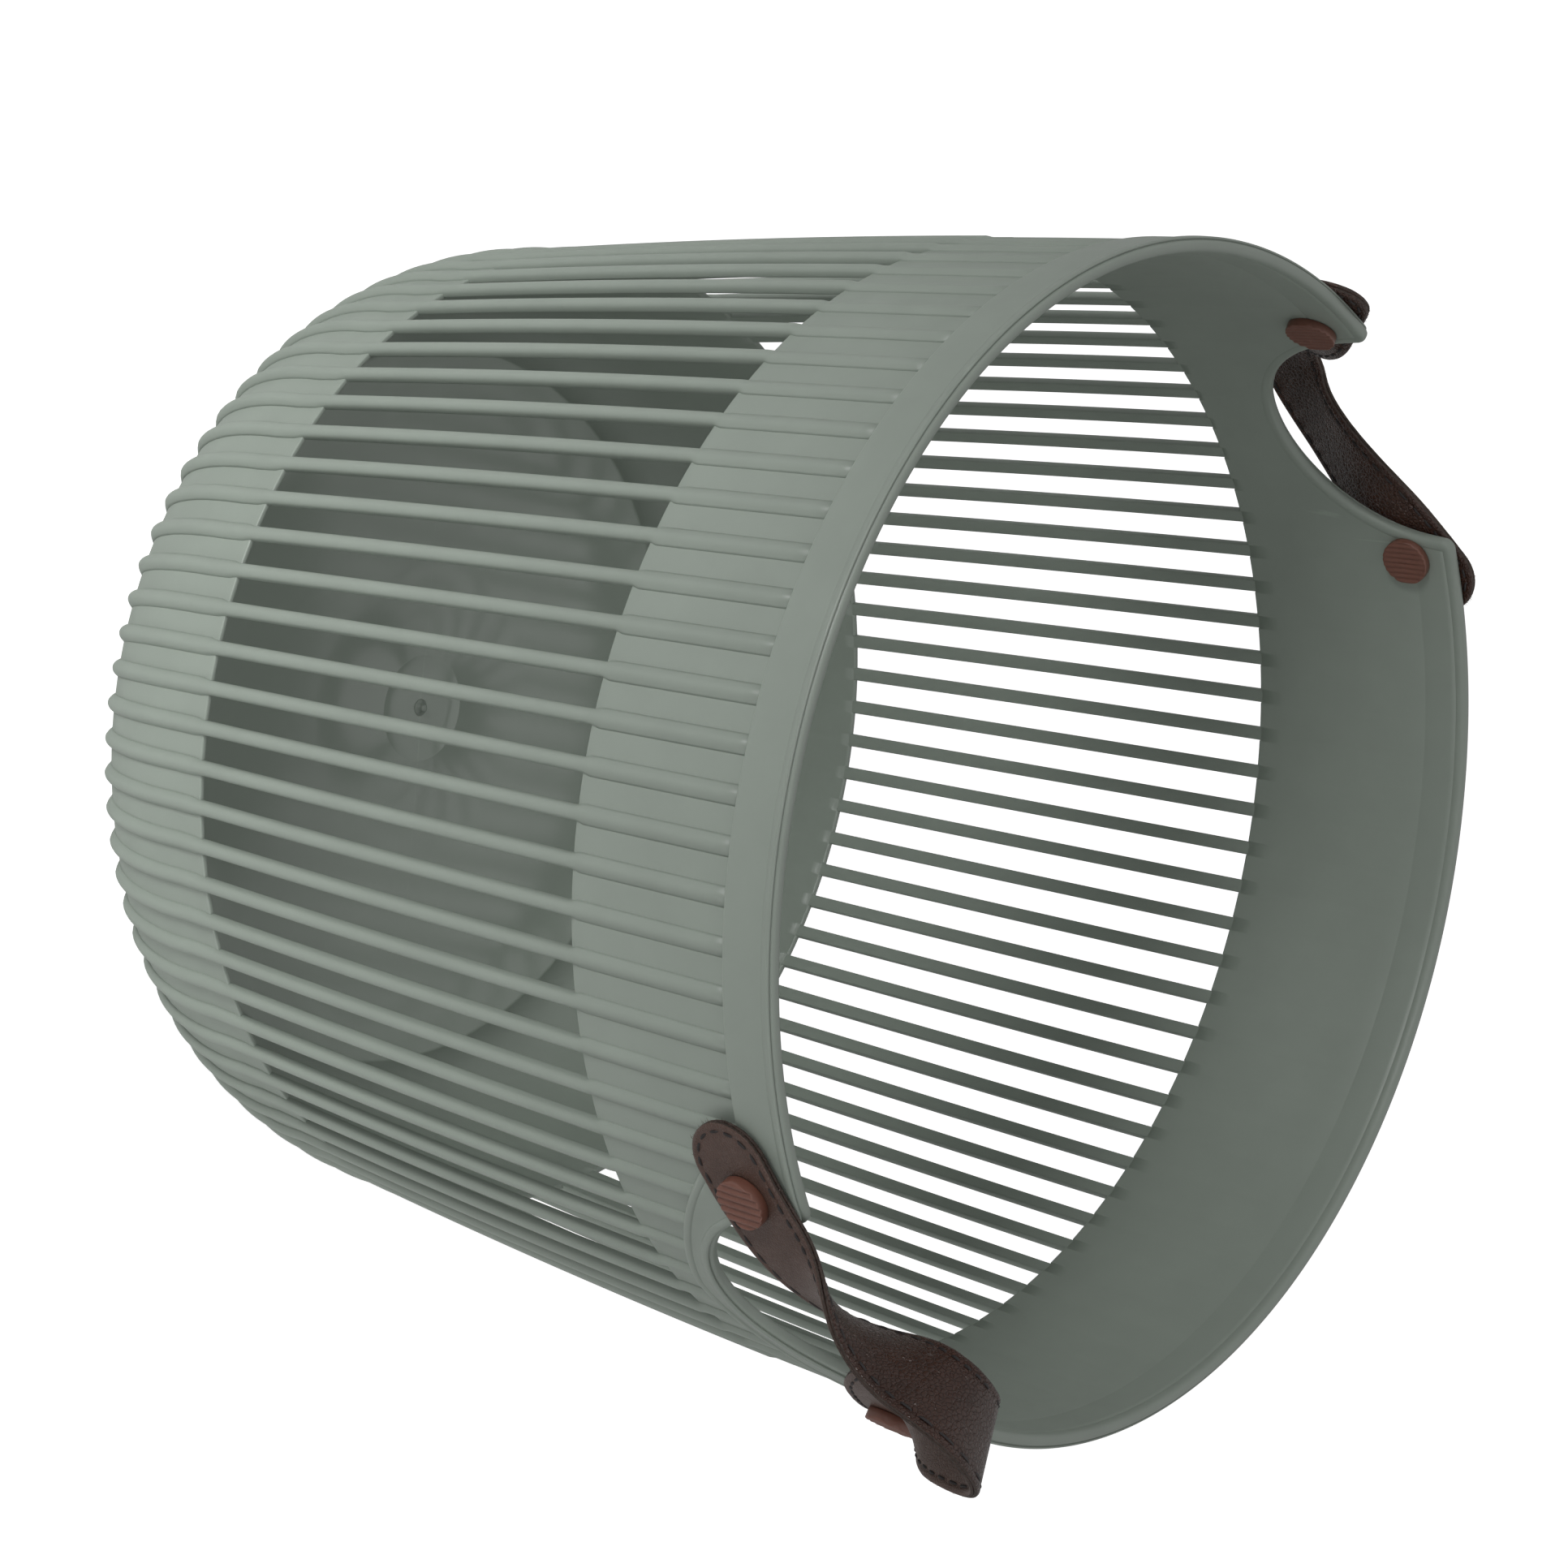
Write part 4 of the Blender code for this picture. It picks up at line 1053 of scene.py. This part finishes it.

# Each finish: its colour, the factors of its main, second and edge shades, the scale of the mottling, its
# roughness where smooth and where dull, how far its edges are lightened, its relief's group, strength and
# depth with the group's values, and its specular level. The lightened edges are rubbed edges, and on the
# sage plastic and the floor also a painted highlight
FINISHES = {
    # The plastic's edge shade, 1.55 times its colour, is partly rubbed edges and partly a painted highlight
    # on the rim's lip and the bars' crests
    "sage_moulded_plastic": (
        "plastic", (1.0, 0.90, 1.55), 9.0, (0.38, 0.48), 0.5,
        "fine_grain", 0.25, 0.00006, {"Scale": 1800.0, "Broad": 0.8}, 0.5,
    ),
    # The floor plate is the sage plastic made lighter in all its shades: painted light for the light and
    # reflections that fall on it through the slots and the mouth
    "sage_glossy_floor": (
        "plastic", (1.28, 1.16, 1.6), 6.0, (0.10, 0.17), 0.5,
        "fine_grain", 0.10, 0.00003, {"Scale": 260.0, "Broad": 1.0}, 0.5,
    ),
    "brown_leather_face": (
        "leather", (1.0, 0.72, 1.9), 90.0, (0.36, 0.50), 0.6,
        "pebbled_leather", 0.7, 0.00016, {"Scale": 1000.0, "Warp": 0.0005, "Crease": 0.16}, 0.40,
    ),
    "brown_pebbled_lining": (
        "lining", (1.0, 0.60, 1.9), 110.0, (0.20, 0.32), 0.5,
        "pebbled_leather", 0.9, 0.00030, {"Scale": 760.0, "Warp": 0.0007, "Crease": 0.16}, 0.34,
    ),
    "fibrous_cut_edge": (
        "cut_edge", (1.0, 0.22, 2.2), 900.0, (0.62, 0.85), 0.6,
        "fine_grain", 1.0, 0.00025, {"Scale": 2600.0, "Broad": 1.0}, 0.5,
    ),
    "dark_thread": (
        "thread", (1.0, 2.2, 3.0), 700.0, (0.55, 0.75), 0.3,
        "fine_grain", 0.8, 0.00008, {"Scale": 4200.0, "Broad": 0.2}, 0.5,
    ),
    "russet_moulded_plastic": (
        "stud", (1.0, 0.80, 1.5), 120.0, (0.34, 0.46), 0.5,
        "fine_grain", 0.3, 0.00008, {"Scale": 1500.0, "Broad": 0.6}, 0.5,
    ),
}


def shared(name):
    return bpy.data.node_groups.get(name) or NODE_GROUPS[name]()


def finish_of(name):
    """A material: mottled colour, convex edges lightened as rubbed edges and as a painted highlight, and a
    bump from a relief group.
    """
    made = bpy.data.materials.get(name)
    if made:
        return made
    colour, factors, scale, (smooth, dull), wear_and_highlight, group, strength, depth, values, specular = FINISHES[name]
    pure = getattr(bpy.context.scene.basket_colours, colour)
    main, second, worn_and_lit = [(*[min(1.0, value * factor) for value in pure], 1) for factor in factors]
    made = bpy.data.materials.new(name)
    made.use_nodes = True
    tree = made.node_tree
    shades = {"Base": main, "Second": second, "Scale": scale, "Smooth": smooth, "Dull": dull}
    mottle = add(tree, "ShaderNodeGroup", shades, node_tree=shared("mottled_colour"))
    # Lighter edges: rubbed edges, and on the sage plastic partly a painted highlight
    rubbed_and_lit = {"Colour": (mottle, "Colour"), "Worn": worn_and_lit, "Amount": wear_and_highlight}
    edges = add(tree, "ShaderNodeGroup", rubbed_and_lit, node_tree=shared("edge_wear"))
    relief = add(tree, "ShaderNodeGroup", values, node_tree=shared(group))
    bump = add(
        tree, "ShaderNodeBump", {"Strength": strength, "Distance": depth, "Height": (relief, "Height")}
    )
    fill(tree.nodes["Principled BSDF"], {
        "Base Color": (edges, "Colour"), "Roughness": (mottle, "Roughness"),
        "Normal": (bump, "Normal"), "Specular IOR Level": specular,
    })
    return made


# Operators


def built(name, finishes, build, *facts):
    """The piece that a builder makes from its facts."""
    shape = Shape()
    build(shape, *facts)
    return shape.piece(name, *finishes)


def strap_halves():
    """Each half of both straps, with its handle's name and its own word."""
    for handle, facts in HANDLES.items():
        for word in facts["halves"]:
            yield handle, word, StrapHalf(handle, word)


def follow_loop(piece, handle, half):
    """Works out the marks where the piece would leave the wall and follow the loop, and bakes its transform;
    nothing uses the marks.
    """
    half.mark(BLEND_START)
    half.mark(BLEND_END)
    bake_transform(piece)


class BasketBody(bpy.types.Operator):
    """Build the moulded body: cup, top band, bars, rim lip, flanges and the mark on the floor"""

    bl_idname = "storage_basket.body"
    bl_label = "Basket body"

    def execute(self, context):
        # The second finish, for the floor plate, is the plastic painted lighter to stand for the light on it
        finishes = (finish_of("sage_moulded_plastic"), finish_of("sage_glossy_floor"))
        builders = (
            ("basket_cup", build_cup),
            ("basket_top_band", build_top_band),
            ("basket_ribs_and_bars", build_bars),
            ("basket_rim_lip", build_rim_lip),
            ("basket_far_flange", build_flange, 0.0),
            ("basket_near_flange", build_flange, math.pi),
            ("basket_floor_nub", build_gate_mark),
        )
        for name, build, *facts in builders:
            piece = built(name, finishes, build, *facts)
            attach(piece, "basket")
            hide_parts("basket_body")
        return {"FINISHED"}


class BasketStraps(bpy.types.Operator):
    """Build both leather strap handles, each as two halves with an outer layer and a lining"""

    bl_idname = "storage_basket.straps"
    bl_label = "Strap handles"

    def execute(self, context):
        edge = finish_of("fibrous_cut_edge")
        layers = (
            ("leather", 1, finish_of("brown_leather_face"), "brown_leather"),
            ("lining", -1, finish_of("brown_pebbled_lining"), "brown_lining"),
        )
        seed = 0
        for handle, word, half in strap_halves():
            for layer, outward, face, slot in layers:
                seed += 1
                name = f"{handle}_{word}_strap_{layer}"
                piece = built(name, (face, edge), strap_layer, half, outward, seed)
                follow_loop(piece, handle, half)
                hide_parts(f"{handle}_strap_{word}_end_{layer}", f"{handle}_strap_loop_{layer}")
        return {"FINISHED"}


class BasketStitches(bpy.types.Operator):
    """Build the stitching along the straps' edges and the loose fibres of their cut edges"""

    bl_idname = "storage_basket.stitches"
    bl_label = "Stitches and fibres"

    def execute(self, context):
        seed = 100
        kinds = (
            ("stitches", strap_stitches, finish_of("dark_thread")),
            ("fibres", strap_fibres, finish_of("fibrous_cut_edge")),
        )
        for handle, word, half in strap_halves():
            for kind, build, finish in kinds:
                seed += 1
                piece = built(f"{handle}_{word}_strap_{kind}", (finish,), build, half, seed)
                follow_loop(piece, handle, half)
        return {"FINISHED"}


class BasketStuds(bpy.types.Operator):
    """Build the ridged studs outside and the ridged caps inside"""

    bl_idname = "storage_basket.studs"
    bl_label = "Studs and caps"

    def execute(self, context):
        finish = finish_of("russet_moulded_plastic")
        ridge = context.scene.basket_sizes.stud_ridge
        face = WALL + RIM_STRIP_PROUD + STRAP_STAND_OFF + 2 * STRAP_FACE
        kinds = (
            ("stud", "stud", 0.0, (face - STUD_SEAT, face + STUD_HEAD, STUD_RIDGES, ridge)),
            ("cap", "inner_cap", math.pi, (STUD_SEAT, CAP_HEAD, CAP_RIDGES, ridge * CAP_RIDGE_SHARE)),
        )
        for handle, facts in HANDLES.items():
            for word, hand in HANDS.items():
                for kind, node, turn, disc in kinds:
                    place = stud_frame(facts["side"], hand) @ Matrix.Rotation(turn, 4, "X")
                    piece = built(f"{handle}_{word}_ridged_{kind}", (finish,), ridged_disc, place, *disc)
                    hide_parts(f"{handle}_{word}_{node}")
                    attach(piece, "basket")
        return {"FINISHED"}


class BasketStage(bpy.types.Operator):
    """Make the white floor, the soft lamps, the pale surroundings and the camera"""

    bl_idname = "storage_basket.stage"
    bl_label = "Stage"

    def execute(self, context):
        scene = context.scene
        scene.view_settings.view_transform = "Standard"
        self.make_floor()
        self.make_world(scene)
        self.make_lamps()
        camera = bpy.data.objects.new("camera", bpy.data.cameras.new("camera"))
        scene.collection.objects.link(camera)
        camera.data.sensor_width = 36.0
        camera.data.lens = CAMERA_LENS
        camera.data.clip_start = 0.05
        camera.data.clip_end = 50.0
        camera.location = CAMERA_PLACE
        camera.rotation_mode = "QUATERNION"
        camera.rotation_quaternion = Quaternion(CAMERA_TURN)
        scene.camera = camera
        return {"FINISHED"}

    def make_floor(self):
        shape = Shape()
        span = np.linspace(-FLOOR_REACH, FLOOR_REACH, 9)
        shape.grid([[(x, y, FLOOR_LEVEL) for x in span] for y in span])
        made = bpy.data.materials.new("white_floor")
        made.use_nodes = True
        tree = made.node_tree
        rays = add(tree, "ShaderNodeLightPath")
        glow = add(
            tree, "ShaderNodeMath", {0: (rays, "Is Camera Ray"), 1: FLOOR_GLOW}, operation="MULTIPLY"
        )
        fill(tree.nodes["Principled BSDF"], {
            "Base Color": (0.86, 0.86, 0.86, 1), "Roughness": 0.9, "Specular IOR Level": 0.1,
            "Emission Color": WHITE, "Emission Strength": (glow, 0),
        })
        shape.piece("floor", made)

    def make_world(self, scene):
        """White to the camera, dimmer as a light, and dark low down in what shines on the basket."""
        world = bpy.data.worlds.new("pale_room")
        scene.world = world
        world.use_nodes = True
        tree = world.node_tree
        tree.nodes.clear()
        light = add(tree, "ShaderNodeBackground", {"Color": WHITE, "Strength": WORLD_LIGHT})
        seen = add(tree, "ShaderNodeBackground", {"Color": WHITE, "Strength": 1.0})
        ways = add(tree, "ShaderNodeTexCoord")
        parts = add(tree, "ShaderNodeSeparateXYZ", {0: (ways, "Generated")})
        above = add(tree, "ShaderNodeMapRange", {"Value": (parts, "Z"), **SHINE_BY_HEIGHT})
        rays = add(tree, "ShaderNodeLightPath")
        white_share = {0: (rays, "Is Glossy Ray"), 1: (above, 0), 2: (rays, "Is Camera Ray")}
        shiny = add(tree, "ShaderNodeMath", white_share, operation="MULTIPLY_ADD", use_clamp=True)
        mixed = add(tree, "ShaderNodeMixShader", {0: (shiny, 0), 1: (light, 0), 2: (seen, 0)})
        add(tree, "ShaderNodeOutputWorld", {0: (mixed, 0)})

    def make_lamps(self):
        for name, kind, spread, place, target, power in LAMPS:
            data = bpy.data.lights.new(name, kind)
            data.energy = power
            if kind == "SPOT":
                data.spot_size = spread
                data.spot_blend = 1.0
                data.shadow_soft_size = 0.25
            else:
                data.shape = "SQUARE"
                data.size = spread
            lamp = bpy.data.objects.new(name, data)
            bpy.context.scene.collection.objects.link(lamp)
            lamp.location = place
            lamp.rotation_mode = "QUATERNION"
            lamp.rotation_quaternion = (Vector(target) - Vector(place)).to_track_quat("-Z", "Y")


class BasketPanel(bpy.types.Panel):
    """Lists the steps that dress the basket"""

    bl_idname = "VIEW3D_PT_storage_basket"
    bl_label = "Storage basket"
    bl_space_type = "VIEW_3D"
    bl_region_type = "UI"
    bl_category = "Basket"

    def draw(self, context):
        layout = self.layout
        for group in (context.scene.basket_sizes, context.scene.basket_colours):
            for name in group.bl_rna.properties.keys():
                if name not in ("rna_type", "name"):
                    layout.prop(group, name)
        for step in STEPS:
            layout.operator(step.bl_idname)


STEPS = (BasketStage, BasketBody, BasketStraps, BasketStitches, BasketStuds)
GROUPS = (BasketSizes, BasketColours)


def register():
    for kind in GROUPS + STEPS + (BasketPanel,):
        bpy.utils.register_class(kind)
    bpy.types.Scene.basket_sizes = PointerProperty(type=BasketSizes)
    bpy.types.Scene.basket_colours = PointerProperty(type=BasketColours)


def unregister():
    del bpy.types.Scene.basket_colours
    del bpy.types.Scene.basket_sizes
    for kind in reversed(GROUPS + STEPS + (BasketPanel,)):
        bpy.utils.unregister_class(kind)


def main():
    register()
    bpy.ops.storage_basket.stage()
    bpy.ops.storage_basket.body()
    bpy.ops.storage_basket.straps()
    bpy.ops.storage_basket.stitches()
    bpy.ops.storage_basket.studs()
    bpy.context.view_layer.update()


if __name__ == "__main__":
    main()
